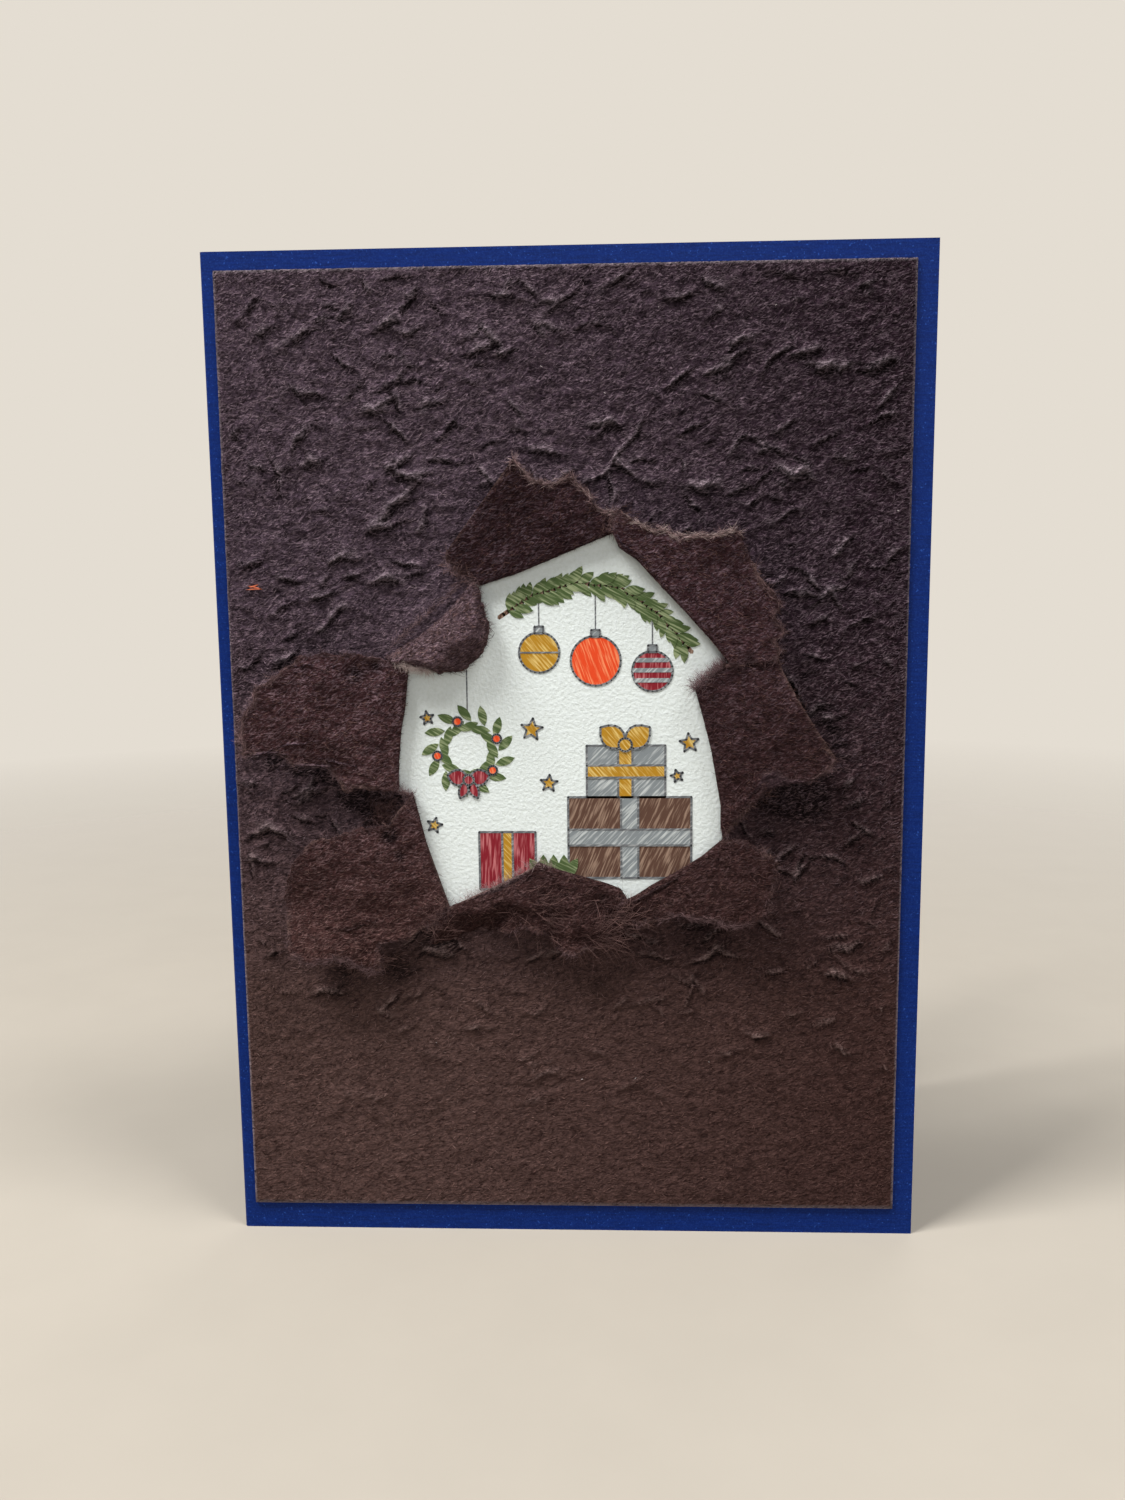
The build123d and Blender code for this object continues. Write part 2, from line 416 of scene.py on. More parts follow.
def wrinkleRelief(across, up):
    # Sum of short ridges with a keen crest. Each is steep below and gentle above, and fades towards
    # its ends. Most rise to the right and some cross them. Painted shade lies in the furrow just under each
    # crest.
    rng = np.random.default_rng(panel["seed"])
    count = panel["wrinkles"]
    centreX = rng.uniform(place["left"], place["right"], count)
    centreY = rng.uniform(place["foot"], place["head"], count)
    crossing = rng.random(count) < panel["crossing"]
    turn = np.where(crossing, rng.normal(-0.6, 0.3, count), rng.normal(0.35, 0.35, count))
    size = rng.random(count) ** 2.0
    length, height = (np.interp(size, (0, 1), panel[key]) for key in ("wrinkleLength", "wrinkleHeight"))
    below, above = (width * (0.7 + size) for width in panel["wrinkleWidth"])
    bow = rng.normal(0, 0.02, count)
    relief, paintedShade = np.zeros_like(across), np.zeros_like(across)
    swayX, swayY = (layeredNoise(across, up, panel["sway"], seed) for seed in panel["swaySeeds"])
    across, up = across + swayX, up + swayY
    for k in range(count):
        dx, dy = across - centreX[k], up - centreY[k]
        along = dx * math.cos(turn[k]) + dy * math.sin(turn[k])
        over = dy * math.cos(turn[k]) - dx * math.sin(turn[k]) - bow[k] * along**2
        width = np.where(over > 0, above[k], below[k])
        fade = height[k] * np.exp(-((along / (0.5 * length[k])) ** 2))
        relief += fade * np.exp(-((np.abs(over) / width) ** 1.4))
        paintedShade += fade * np.exp(-(((over + 2 * below[k]) / 0.4) ** 2))
    return relief, paintedShade


def roundSpots(across, up, shadeSpots):
    # A soft round spot for each listed place, deepest in its middle.
    deep = np.zeros_like(across)
    for x, y, size, depth in shadeSpots:
        deep += depth * np.exp(-((across - x) ** 2 + (up - y) ** 2) / size**2)
    return deep


def reliefStrength(up):
    least, low, high = panel["footStrength"]
    return partWay(least, up, low, high)


def panelHeight(across, up, fromTear):
    # Flat border, a slope up over the picture, and the relief of the crumpled sheet on top.
    half = place["pictureHalf"]
    beyond = np.maximum(np.abs(across) - half[0], np.abs(up) - half[1])
    base = place["paper"] + pictureFace * (1 - smooth(beyond, 0.5, 0.5 + place["rampWidth"]))
    lumps = panel["lumpHeight"] * bumpNoise(across, up * 1.25, panel["lumpSize"], 3)
    grain = panel["grainHeight"] * bumpNoise(across, up * 1.3, panel["grainSize"], 4)
    edge = np.minimum.reduce(
        [across - place["left"], place["right"] - across, up - place["foot"], place["head"] - up]
    )
    least, low, high = panel["edgeHold"]
    held = partWay(least, edge, low, high)
    wrinkles, paintedShade = wrinkleRelief(across, up)
    lifted = panel["tearLift"] * (1 - smooth(fromTear, 0, panel["tearReach"]))
    (ax, ay), (bx, by) = panel["lipEnds"]
    dx, dy = bx - ax, by - ay
    run = np.clip(((across - ax) * dx + (up - ay) * dy) / (dx**2 + dy**2), 0, 1)
    fromLip = np.hypot(across - ax - run * dx, up - ay - run * dy)
    lifted = lifted + panel["lip"] * (1 - smooth(fromLip, *panel["lipReach"]))
    least, low, high = panel["lipCalm"]
    calm = held * partWay(least, fromLip, low, high)
    creased = np.interp(up, *panel["wrinkleFade"]) * calm
    relief = (lumps + grain) * reliefStrength(up) * calm + wrinkles * creased
    # The painted shade: in the wrinkles' furrows, and in the listed spots under, beside and between the
    # flaps.
    paintedShade = paintedShade * creased * np.interp(up, *panel["furrowShadeFade"])
    paintedShade = paintedShade + roundSpots(across, up, panel["shadeSpots"])
    raised = np.maximum(relief + panel["base"], panel["lowest"])
    return base + lifted + raised, relief, paintedShade


def panelRing():
    # Rings from the tear out to the sheet's cut edge: each column is a straight ray from the
    # opening's middle, and the rays are spread evenly over both outlines.
    corners = np.array(list(tear.values()))[::-1]
    closed = np.concatenate([corners, corners[:1]])
    fine = alongLine(closed, np.linspace(0, 1, 4001)[:-1])
    fineAngle = np.unwrap(np.arctan2(fine[:, 1], fine[:, 0]))
    start = fineAngle[0]
    rim = np.linspace(start, start + math.tau, 4001)

    def reachInner(angle):
        radius = np.linalg.norm(fine, axis=1)
        return np.interp(angle, np.append(fineAngle, start + math.tau), np.append(radius, radius[0]))

    def reachOuter(angle):
        c, s = np.cos(angle), np.sin(angle)
        sideways = np.where(c > 0, place["right"], place["left"]) / np.where(np.abs(c) < 1e-9, 1e-9, c)
        upwards = np.where(s > 0, place["head"], place["foot"]) / np.where(np.abs(s) < 1e-9, 1e-9, s)
        return np.minimum(np.abs(sideways), np.abs(upwards))

    spread = np.zeros(len(rim))
    for reach in (reachInner, reachOuter):
        r = reach(rim)
        line = np.stack([r * np.cos(rim), r * np.sin(rim)], -1)
        steps = np.linalg.norm(np.diff(line, axis=0), axis=1) * (1 + panel["upward"] * np.sin(rim[1:]))
        run = np.concatenate([[0], np.cumsum(steps)])
        spread += run / run[-1] / 2
    angle = np.interp(np.arange(panel["columns"]) / panel["columns"], spread, rim)
    for x in (place["left"], place["right"]):
        for y in (place["foot"], place["head"]):
            corner = (math.atan2(y, x) - start) % math.tau + start
            angle[np.argmin(np.abs(angle - corner))] = corner
    angle = angle[::-1]  # clockwise, so that the faces look out
    inner = reachInner(angle) + place["foldRadius"]
    outer = reachOuter(angle)
    share = np.linspace(0, 1, panel["rows"])[:, None] ** 1.1
    radius = inner + (outer - inner) * share
    return radius * np.cos(angle), radius * np.sin(angle), radius - inner


def buildPanel(material):
    # The rings at their heights, closed behind by a second surface close to the board and the picture.
    across, up, fromTear = panelRing()
    height, ridges, paintedShades = panelHeight(across, up, fromTear)
    front = onCard(across, up, height)
    gap = panel["backGap"]
    innerBack = onCard(across[:1], up[:1], pictureFace + gap)
    outerBack = onCard(across[-1:], up[-1:], gap)
    rows, columns = across.shape
    # The back is one ring of faces between the two rims, and the rims are closed by walls.
    points = np.concatenate([innerBack, front, outerBack])
    quads = gridQuads(rows + 2, columns, around=True)
    last = (rows + 1) * columns
    ring = np.arange(columns)
    following = np.roll(ring, -1)
    back = np.stack([last + ring, last + following, following, ring], -1)
    faces = np.concatenate([quads, back])
    frayed, cut = np.zeros((2, rows + 2, columns))
    frayed[:2] = 1
    cut[-2:] = 0.9
    marks = {"frayed": frayed, "cut": cut}
    # The relief's heights give the painted highlight on the crests, and the last mark is painted shade.
    for mark, values in (("relief", reliefStrength(up)), ("ridge", ridges), ("paintedShade", paintedShades)):
        marks[mark] = np.pad(values, ((1, 1), (0, 0)), mode="edge")
    piece = makePiece("brown_sheet", points, faces, material, marks)
    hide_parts("torn_panel")
    return front


# Flaps: crease from one point of the tear to the next, then the torn outline beyond it. The start
# side runs out from the crease's start, the end side from its end, and the far edge joins them.

# Each flap's level of painted shading: above 0 painted shade, below 0 painted light.
flapFacts = {
    "flap_top": {
        "crease": [(-16.7, 28.6), (-8.5, 31.2), (10.6, 39.0)],
        "startSide": [(-18.5, 30.1), (-20.9, 32.5), (-23.5, 33.6), (-23.2, 35.7)],
        "farEdge": [(-9.1, 54.2), (-7, 51.3), (-5.3, 49.8), (-2, 49.2), (2.7, 50.4), (4.4, 48.6),
                    (6.2, 46), (8, 43.9)],
        "endSide": [(11.0, 41.5), (11.5, 43.4)],
        "keen": 0.46,
        "stand": 0.2, "lift": 6.5, "bend": 0.7, "ragged": 0.45, "nap": 32, "paintedShading": 0.2, "seed": 21,
    },
    "flap_upper_right": {
        "crease": [(10.6, 39.2), (12.1, 36.0), (15.6, 33.6), (21.5, 27.2), (26.2, 22.2), (31.2, 16.6),
                   (34.4, 12.5)],
        "startSide": [(11.0, 41.5), (11.5, 43.4)],
        "farEdge": [(13.9, 42.2), (17.4, 40.4), (20.3, 39.8), (22.7, 38.9), (26.2, 38.4), (30.3, 38.6),
                    (35, 39.5), (35.9, 39.2), (36.8, 37.2), (38.6, 33.1), (41.5, 28.4), (44.7, 25.1),
                    (43.6, 22.2), (45.3, 18.4), (43.9, 16.9), (44.7, 15.4)],
        "endSide": [(36.5, 11.9), (40.9, 12.5), (44.1, 13.1)],
        "stand": 1.6, "lift": 8.0, "bend": 0.9, "ragged": 0.5, "nap": -14, "paintedShading": -0.26, "seed": 22,
    },
    "flap_right": {
        "crease": [(27.7, 6.6), (28.3, 4.5), (29.4, 0.4), (30.9, -5.5), (32.1, -11.9), (33.0, -17.2),
                   (33.0, -22.0), (33.5, -24.7)],
        "startSide": [(30.5, 9.2), (33.2, 12.0), (37.5, 13.4), (44.2, 14.4)],
        "farEdge": [(45.2, 11.2), (48, 5.7), (51.5, -0.2), (55.9, -6.6), (55.6, -7.5), (53.9, -9.6),
                    (50.9, -11.6), (47.4, -11.1), (43.3, -9.3), (41.5, -10.2)],
        "endSide": [(35.6, -21.9), (38, -19), (40.3, -16.1), (42.1, -13.1)],
        "keen": 0.54, "tuck": 0.3,
        "stand": 0.6, "lift": 13.0, "bend": 0.9, "ragged": 0.45, "nap": -10, "paintedShading": 0.12, "seed": 23,
    },
    "flap_lower_right": {
        "crease": [(33.5, -24.7), (29.1, -28.4), (24.4, -31.4), (18.6, -34.6), (13.6, -38.0)],
        "startSide": [(36.5, -24.3), (40.9, -25.8), (44.5, -29.0)],
        "farEdge": [(43.6, -36.1), (42.7, -39), (41.5, -40.8), (38.6, -42.2), (36.5, -42.8),
                    (31.5, -41.6), (26.8, -41.1), (22.7, -40.8), (20.9, -41.9), (16.8, -42.5)],
        "endSide": [(11.5, -39.6), (12.1, -41.6)],
        "stand": 0.8, "lift": 14.0, "bend": 0.9, "ragged": 0.5, "nap": 16, "paintedShading": 0.16, "seed": 24,
    },
    "flap_bottom": {
        "crease": [(13.6, -38.0), (12.1, -35.5), (9.1, -34.3), (3.9, -32.8), (-0.9, -31.4), (-5.3, -29.7),
                   (-8.5, -33.1), (-13.8, -36.1), (-18.5, -37.3), (-23.5, -39.0)],
        "startSide": [(11.5, -41.0), (9.1, -44.3), (9.7, -47.2)],
        "farEdge": [(4.4, -48.1), (-0.9, -48.4), (-3.5, -44.9), (-8.5, -43.7), (-14, -44.8),
                    (-18.5, -45.5), (-26.5, -48.3)],
        "endSide": [(-27, -42), (-28.5, -47.5), (-32, -49.7)],
        "settle": (0.42, 0.7), "bendSize": 5.0,
        "stand": 0.6, "lift": 11.0, "bend": 2.2, "ragged": 0.7, "nap": -4, "paintedShading": 0.16, "seed": 25,
    },
    "flap_lower_left": {
        "crease": [(-25.0, -38.5), (-27.5, -32.0), (-28.5, -28.0), (-30.5, -19.5), (-31.8, -14.5)],
        "startSide": [(-27.0, -42.5), (-29.5, -43.5), (-34.0, -46.0), (-38.5, -46.5), (-39.5, -48.5),
                      (-38.8, -52.7)],
        "farEdge": [(-40.5, -53.2), (-44.5, -51), (-48.5, -49), (-51, -50.2), (-54, -50), (-58, -48),
                    (-58.3, -44), (-58.5, -39), (-58.5, -34), (-56.8, -29)],
        "endSide": [(-33.5, -17.0), (-36.5, -21.0), (-39.0, -21.5), (-44.5, -22.0), (-48.5, -23.5),
                    (-52.5, -24.0)],
        "stand": 0.5, "lift": 9.0, "bend": 1.5, "ragged": 0.6, "nap": 6, "paintedShading": -0.3, "seed": 26,
    },
    "flap_left": {
        "crease": [(-34.6, -14.0), (-34.5, -9.0), (-33.8, -1.5), (-32.8, 3.5), (-31.8, 12.5)],
        "startSide": [(-38.5, -14.0), (-43.5, -13.5), (-46.0, -14.0)],
        "farEdge": [(-47, -12), (-49, -8), (-53.5, -8.2), (-56.5, -7.5), (-58.5, -5.7), (-61.5, -5),
                    (-66, -5.5), (-66.5, -1), (-65.5, 2.5), (-64, 5), (-62.5, 8.3), (-59, 10.5)],
        "endSide": [(-36.5, 13.7), (-43.5, 15.0), (-53.5, 15.0)],
        "stand": 0.5, "lift": 9.0, "bend": 1.7, "ragged": 0.6, "nap": 3, "paintedShading": -0.36, "seed": 27,
    },
}

flapPressesAndShade = [  # places pressed into the flaps, and painted darker there as painted shade: x, y, size, depth
    (-43.0, 10.5, 2.4, 0.5), (-38.5, 12.2, 2.0, 0.4), (-36.5, -23.5, 2.2, 0.6), (-34.5, -28.0, 1.6, 0.45),
    (11.0, -42.0, 2.5, 0.7), (8.5, -37.5, 1.6, 0.4), (15.0, -40.5, 1.6, 0.4), (38.5, 12.6, 1.8, 0.4),
]
flapGrid = {"columns": 96, "foldRows": 7, "faceRows": 56, "rootRows": 2, "rootReach": 2.0}
flapForm = {
    "teeth": ((3.1, 1.0), (1.2, 0.6), (0.55, 0.4)),  # cell and height of the torn edge's teeth
    "stillEnds": 0.04,  # share of a torn line, at its ends, that has none
    "bendSize": 11.0, "grown": 9,
    "lumps": ((3.8, 0.3), (1.7, 0.2)), "lumpsGrown": 3,
    "press": 1.4, "settled": -0.3,
    "relief": 0.52,  # strength of the material's bumps
}


def raggedLine(points, count, amount, seed, keen=0.0):
    # A drawn line with teeth of three sizes across it, none at its two ends or on its keen share.
    share = np.linspace(0, 1, count)
    line = alongLine(points, share)
    side = unit(np.gradient(line, axis=0))[:, ::-1] * (1, -1)
    length = np.linalg.norm(np.diff(line, axis=0), axis=1).sum()
    reach = share * length
    teeth = layeredNoise(reach, reach * 0, flapForm["teeth"], seed)
    ends = flapForm["stillEnds"]
    still = smooth(share, keen, keen + ends) * smooth(1 - share, 0, ends)
    return line + side * (teeth * still * amount)[:, None]


def coonsPatch(bottom, top, start, end):
    # Blend of four edge lines: between bottom and top, plus between the sides, less the corners.
    u = np.linspace(0, 1, len(bottom))[None, :, None]
    v = np.linspace(0, 1, len(start))[:, None, None]
    rails = bottom * (1 - v) + top * v
    sides = start[:, None] * (1 - u) + end[:, None] * u
    low = bottom[0] * (1 - u) + bottom[-1] * u
    high = top[0] * (1 - u) + top[-1] * u
    return rails + sides - (low * (1 - v) + high * v)


def flapSurface(facts):
    # Plan: a patch between crease and torn edge. Height: a half-round fold at the crease, then a
    # straight rise by the lift angle, with slow bends and small lumps that grow from the fold.
    columns, rows = flapGrid["columns"], flapGrid["faceRows"]
    radius, seed, ragged = place["foldRadius"], facts["seed"], facts["ragged"]
    crease = alongLine(facts["crease"], np.linspace(0, 1, columns))
    startLine = [facts["crease"][0]] + facts["startSide"]
    endLine = [facts["crease"][-1]] + facts["endSide"]
    farLine = [startLine[-1]] + facts["farEdge"] + [endLine[-1]]
    start = raggedLine(startLine, rows, ragged, seed)
    end = raggedLine(endLine, rows, ragged, seed + 10)
    keen = facts.get("keen", 0.0)  # this share of the far edge is a clean straight tear
    far = raggedLine(farLine, columns, ragged, seed + 20, keen)
    plan = coonsPatch(crease, far, start, end)
    away = unit(plan[4] - plan[0])
    reach = np.linalg.norm(plan[-1] - plan[0], axis=1)
    bendAngle = np.linspace(-90, 90, 2 * flapGrid["foldRows"])[:, None] * math.pi / 180
    fromCrease = radius * (1 - np.cos(bendAngle))
    foldPlan = crease + away * fromCrease[:, :, None]
    centre = place["face"] + radius - place["paper"] + facts["stand"]
    sag = np.where(bendAngle < 0, radius + facts["stand"], radius)
    foldHeight = centre + sag * np.sin(bendAngle) + 0 * reach
    rootShare = np.linspace(1, 0, flapGrid["rootRows"] + 1)[:-1, None]
    rootPlan = crease + away * (radius + rootShare * flapGrid["rootReach"])[:, :, None]
    rootHeight = centre - radius - facts["stand"] + 0 * rootShare * reach
    first = np.clip(radius / reach, 0, 0.5)
    share = first + (1 - first) * np.linspace(0, 1, rows)[1:, None]
    index = share * (rows - 1)
    low = np.clip(np.floor(index).astype(int), 0, rows - 2)
    part = (index - low)[:, :, None]
    column = np.arange(columns)[None, :]
    facePlan = plan[low, column] * (1 - part) + plan[low + 1, column] * part
    gone = np.linalg.norm(facePlan - crease, axis=2)
    across, up = facePlan[..., 0], facePlan[..., 1]
    bendSize = facts.get("bendSize", flapForm["bendSize"])
    slow = facts["bend"] * bumpNoise(across, up, bendSize, seed + 30)
    slow = slow * smooth(gone, radius, flapForm["grown"])
    lumps = layeredNoise(across, up, flapForm["lumps"], seed + 31)
    small = smooth(gone, radius, flapForm["lumpsGrown"])
    rise = np.maximum(gone - radius, 0) * math.tan(math.radians(facts["lift"]))
    if "tuck" in facts:
        # Its first side stays low, so that it passes under the flap before it.
        rise *= partWay(0.3, np.linspace(0, 1, columns), 0.02, facts["tuck"])
    pressed = roundSpots(across, up, flapPressesAndShade) * small
    faceHeight = centre + radius + rise + slow + lumps * small - flapForm["press"] * pressed
    if "settle" in facts:
        # Part of this flap was never torn free: it slopes back down into the sheet.
        sunk = smooth(np.linspace(0, 1, columns)[None, :], *facts["settle"]) * smooth(share, 0.25, 1.0)
        faceHeight = faceHeight * (1 - sunk) + (place["face"] + flapForm["settled"]) * sunk
    flat = np.concatenate([rootPlan, foldPlan, facePlan])
    height = np.concatenate([rootHeight, foldHeight, faceHeight])
    skin = onCard(flat[..., 0], flat[..., 1], height)
    u = np.linspace(0, 1, columns)[None, :]
    width = np.linalg.norm(np.diff(flat, axis=1), axis=2).sum(axis=1)[:, None]
    toSide = np.minimum(u, 1 - u) * width
    toFar = np.full(height.shape, 99.0)
    toFar[-len(facePlan):] = (1 - share) * reach
    edgeGap = np.minimum(toSide, toFar)
    clean = np.where(u < keen, 1 - smooth(toFar, 0.1, 0.5), 0)
    return skin, edgeGap, clean


def closedShell(skin, thickness):
    # The outer skin, the same skin set back along its normals, and a wall round the rim.
    rows, columns = skin.shape[:2]
    normals = gridNormals(skin)
    inner = skin - normals * (thickness / 1000)[..., None]
    number = np.arange(rows * columns).reshape(rows, columns)
    rim = np.concatenate([number[0], number[1:, -1], number[-1, -2::-1], number[-2:0:-1, 0]])
    following = np.roll(rim, -1)
    quads = gridQuads(rows, columns)
    offset = rows * columns
    wall = np.stack([following, rim, rim + offset, following + offset], -1)
    faces = np.concatenate([quads, quads[:, ::-1] + offset, wall])
    return np.concatenate([skin.reshape(-1, 3), inner.reshape(-1, 3)]), faces, normals


def buildFlap(name, facts, material):
    # The flap's surface as a shell that thins to its torn edges, which are pale in patches.
    skin, edgeGap, clean = flapSurface(facts)
    x, z = skin[..., 0] * 1000, skin[..., 2] * 1000
    wearAndPaintedHighlight = 1 - smooth(edgeGap + 0.5 * bumpNoise(x, z, 2.3, facts["seed"] + 40), 0.1, 1.2)
    patchy = 0.15 + 0.85 * smooth(bumpNoise(x, z, 7.0, facts["seed"] + 41), -0.2, 0.5)
    points, faces, normals = closedShell(skin, place["paper"] * (1 - 0.5 * wearAndPaintedHighlight))
    pale = np.maximum(wearAndPaintedHighlight * patchy, clean).ravel()
    frayed = np.concatenate([pale, pale])
    reverse = np.concatenate([np.ones(wearAndPaintedHighlight.size), np.zeros(wearAndPaintedHighlight.size)])
    marks = {"frayed": frayed, "reverse": reverse, "relief": np.full(reverse.shape, flapForm["relief"])}
    marks["paintedShading"] = np.full(reverse.shape, facts["paintedShading"])
    # The pressed places are also painted darker on the flap's outer face: painted shade.
    pressed = roundSpots(x - middle[0] * 1000, z - middle[2] * 1000, flapPressesAndShade).ravel()
    marks["paintedShade"] = np.concatenate([pressed, 0 * pressed])
    piece = makePiece(name, points, faces, material, marks)
    return skin, normals


# Tongue: a lobe rooted along the upper left of the tear, curling out over the opening

tongue = {
    "root": [(-19.6, 29.6), (-22.6, 27.0), (-27.6, 22.8), (-32.8, 18.4), (-36.5, 15.0)],
    "startSide": [(-18.4, 29.2), (-16.9, 28.4)],
    "farEdge": [(-16.2, 25.5), (-15.4, 22.5), (-14.8, 18.6), (-15.6, 16.0), (-17.6, 13.2), (-20.5, 11.2),
                (-25.5, 10.6), (-28.5, 11.3), (-31.0, 12.0)],
    "endSide": [(-36.2, 13.6), (-35.0, 12.4)],
    "profile": [(0.0, -0.4), (0.07, 0.2), (0.2, 2.2), (0.4, 4.4), (0.6, 5.3), (0.8, 4.8), (0.93, 3.4),
                (1.0, 1.8)],
    "columns": 90, "rows": 64,
    "lumps": ((5.0, 0.8), (2.2, 0.45)),
    "valley": (0.1, 0.05, 0.35),  # place from root to tip, width and strength of the painted shade along the crease
    "relief": 0.8, "napWarmth": 0.8,
    # The tongue's level of painted shading is below 0: painted light.
    "warmth": 0.3, "paintedShading": -0.3, "pale": 0.3, "ragged": 0.45, "seed": 61,
}


def buildTongue(material):
    # Plan: a patch between root and torn tip. Height: a drawn profile from root to tip, level with
    # the sheet, down into a valley, then over a bulge, and lower at the two sides.
    columns, rows, seed = (tongue[key] for key in ("columns", "rows", "seed"))
    root = alongLine(tongue["root"], np.linspace(0, 1, columns))
    startLine = [tongue["root"][0]] + tongue["startSide"]
    endLine = [tongue["root"][-1]] + tongue["endSide"]
    farLine = [startLine[-1]] + tongue["farEdge"] + [endLine[-1]]
    start = alongLine(startLine, np.linspace(0, 1, rows))
    end = alongLine(endLine, np.linspace(0, 1, rows))
    plan = coonsPatch(root, raggedLine(farLine, columns, tongue["ragged"], seed), start, end)
    across, up = plan[..., 0], plan[..., 1]
    v = np.linspace(0, 1, rows)[:, None]
    u = np.linspace(0, 1, columns)[None, :]
    narrow = 0.35 + 0.65 * np.sin(math.pi * np.clip(u, 0.0, 1.0)) ** 0.6
    drawn = np.array(tongue["profile"])
    swell = sum(np.interp(np.clip(v + d, 0, 1), drawn[:, 0], drawn[:, 1]) for d in (-0.06, 0, 0.06)) / 3
    lumps = layeredNoise(across, up, tongue["lumps"], seed + 1)
    grown = smooth(v, 0.1, 0.5)
    height = place["face"] + swell * narrow + lumps * grown
    skin = onCard(across, up, height)
    wearAndPaintedHighlight = (1 - smooth((1 - v) * 14, 0.1, 1.0)) * np.ones_like(u)
    points, faces, normals = closedShell(skin, place["paper"] * (1 - 0.6 * wearAndPaintedHighlight))
    pale = np.maximum(wearAndPaintedHighlight, tongue["pale"]).ravel()
    frayed = np.concatenate([pale, pale])
    # A band of painted shade along the crease near the root.
    at, wide, deep = tongue["valley"]
    valley = (np.exp(-(((v - at) / wide) ** 2)) * np.ones_like(u)).ravel()
    marks = {"frayed": frayed}
    for mark, key in (("relief", "relief"), ("reverse", "warmth"), ("paintedShading", "paintedShading")):
        marks[mark] = np.full(frayed.shape, tongue[key])
    marks["paintedShade"] = np.concatenate([deep * valley, 0 * valley])
    piece = makePiece("tongue", points, faces, material, marks)
    return skin, normals


# Fibres: thin closed spindles. Each has three-sided rings between its two pointed ends.


def fibreShapes(base, lie, normal, length, radius, curl, lift, rings):
    # base, lie and normal are one row per fibre; curl bows it sideways and lift bows it outwards,
    # both as shares of its length.
    side = np.cross(lie, normal)
    share = np.linspace(0, 1, rings + 2)[None, :, None]
    run = (length / 1000)[:, None, None]
    bow = curl[:, None, None] * share**2 * side[:, None] + lift[:, None, None] * share * normal[:, None]
    path = base[:, None] + run * (share * lie[:, None] + bow)
    turn = np.arange(3) * math.tau / 3
    ring = side[:, None] * np.cos(turn)[:, None] + normal[:, None] * np.sin(turn)[:, None]
    thin = (radius / 1000)[:, None, None, None]
    hoops = path[:, 1:-1, None] + thin * ring[:, None]
    count = len(base)
    points = np.concatenate([path[:, :1], hoops.reshape(count, -1, 3), path[:, -1:]], axis=1)
    faces = []
    for k in range(3):
        following = (k + 1) % 3
        faces.append((0, 1 + k, 1 + following))
        for r in range(rings - 1):
            low, high = 1 + 3 * r, 4 + 3 * r
            faces.append((low + k, high + k, high + following))
            faces.append((low + k, high + following, low + following))
        top = 1 + 3 * (rings - 1)
        faces.append((top + following, top + k, 3 * rings + 1))
    each = 3 * rings + 2
    numbers = np.array(faces)[None] + (np.arange(count) * each)[:, None, None]
    return points.reshape(-1, 3), numbers.reshape(-1, 3), each


def addFibres(name, groups, material):
    # Several groups of fibres become one piece, with a shade and a warmth for each fibre.
    points, faces, shades, warmths, start = [], [], [], [], 0
    for shapes, shade, warmth in groups:
        points.append(shapes[0])
        faces.append(shapes[1] + start)
        shades.append(np.repeat(shade, shapes[2]))
        warmths.append(np.repeat(np.broadcast_to(warmth, shade.shape), shapes[2]))
        start += len(shapes[0])
    marks = {"shade": np.concatenate(shades), "warm": np.concatenate(warmths)}
    piece = makePiece(name, np.concatenate(points), np.concatenate(faces), material, marks)


def spots(grid, normals, count, rng, around=False):
    # Random places on a grid surface, spread by area, and the surface's normals there.
    if around:
        grid = np.concatenate([grid, grid[:, :1]], axis=1)
        normals = np.concatenate([normals, normals[:, :1]], axis=1)
    a, b, c, d = grid[:-1, :-1], grid[:-1, 1:], grid[1:, 1:], grid[1:, :-1]
    area = np.linalg.norm(np.cross(c - a, d - b), axis=-1).ravel()
    cell = rng.choice(area.size, count, p=area / area.sum())
    row, column = np.unravel_index(cell, a.shape[:2])
    s, t = rng.random((2, count, 1))
    at = (a[row, column] * (1 - s) + b[row, column] * s) * (1 - t)
    at += (d[row, column] * (1 - s) + c[row, column] * s) * t
    return at, unit(normals[row, column])


nap = {
    "panelCount": 44000, "flapCount": 12800,
    "length": (0.7, 2.0), "radius": (0.03, 0.065), "flapRadius": (0.025, 0.055),
    "turn": 22.0, "turnSpread": 24.0, "flapSpread": 15.0, "crossing": 0.2,
    "shade": (1.2, 2.4),  # most of the fibres are dark: the palest, and the power that shares them out
    "flapShade": 0.75,  # the flaps' fibres are darker than the sheet's
    "seed": 71,
}


def layNap(grid, normals, count, rng, turn, spread, thick, around=False):
    # Short fibres that lie on a surface, mostly along one slant, their far ends just lifted. One
    # that would pass the sheet's cut edge is turned back.
    at, normal = spots(grid, normals, count, rng, around)
    angle = np.radians(rng.normal(turn, spread, count))
    angle = np.where(rng.random(count) < nap["crossing"], rng.uniform(0, math.pi, count), angle)
    flat = slanted(angle)
    lie = unit(flat - normal * (flat * normal).sum(-1, keepdims=True))
    length = rng.uniform(*nap["length"], count)
    tip = at + lie * (length / 1000)[:, None]
    beyond = ((tip < sheetLow) | (tip > sheetHigh))[:, [0, 2]].any(1)
    lie = np.where(beyond[:, None], -lie, lie)
    radius = rng.uniform(*thick, count)
    curl = rng.normal(0, 0.16, count)
    lift = rng.uniform(0.0, 0.1, count)
    shapes = fibreShapes(at, lie, normal, length, radius, curl, lift, 1)
    palest, power = nap["shade"]
    return shapes, palest * rng.random(count) ** power, at * 1000


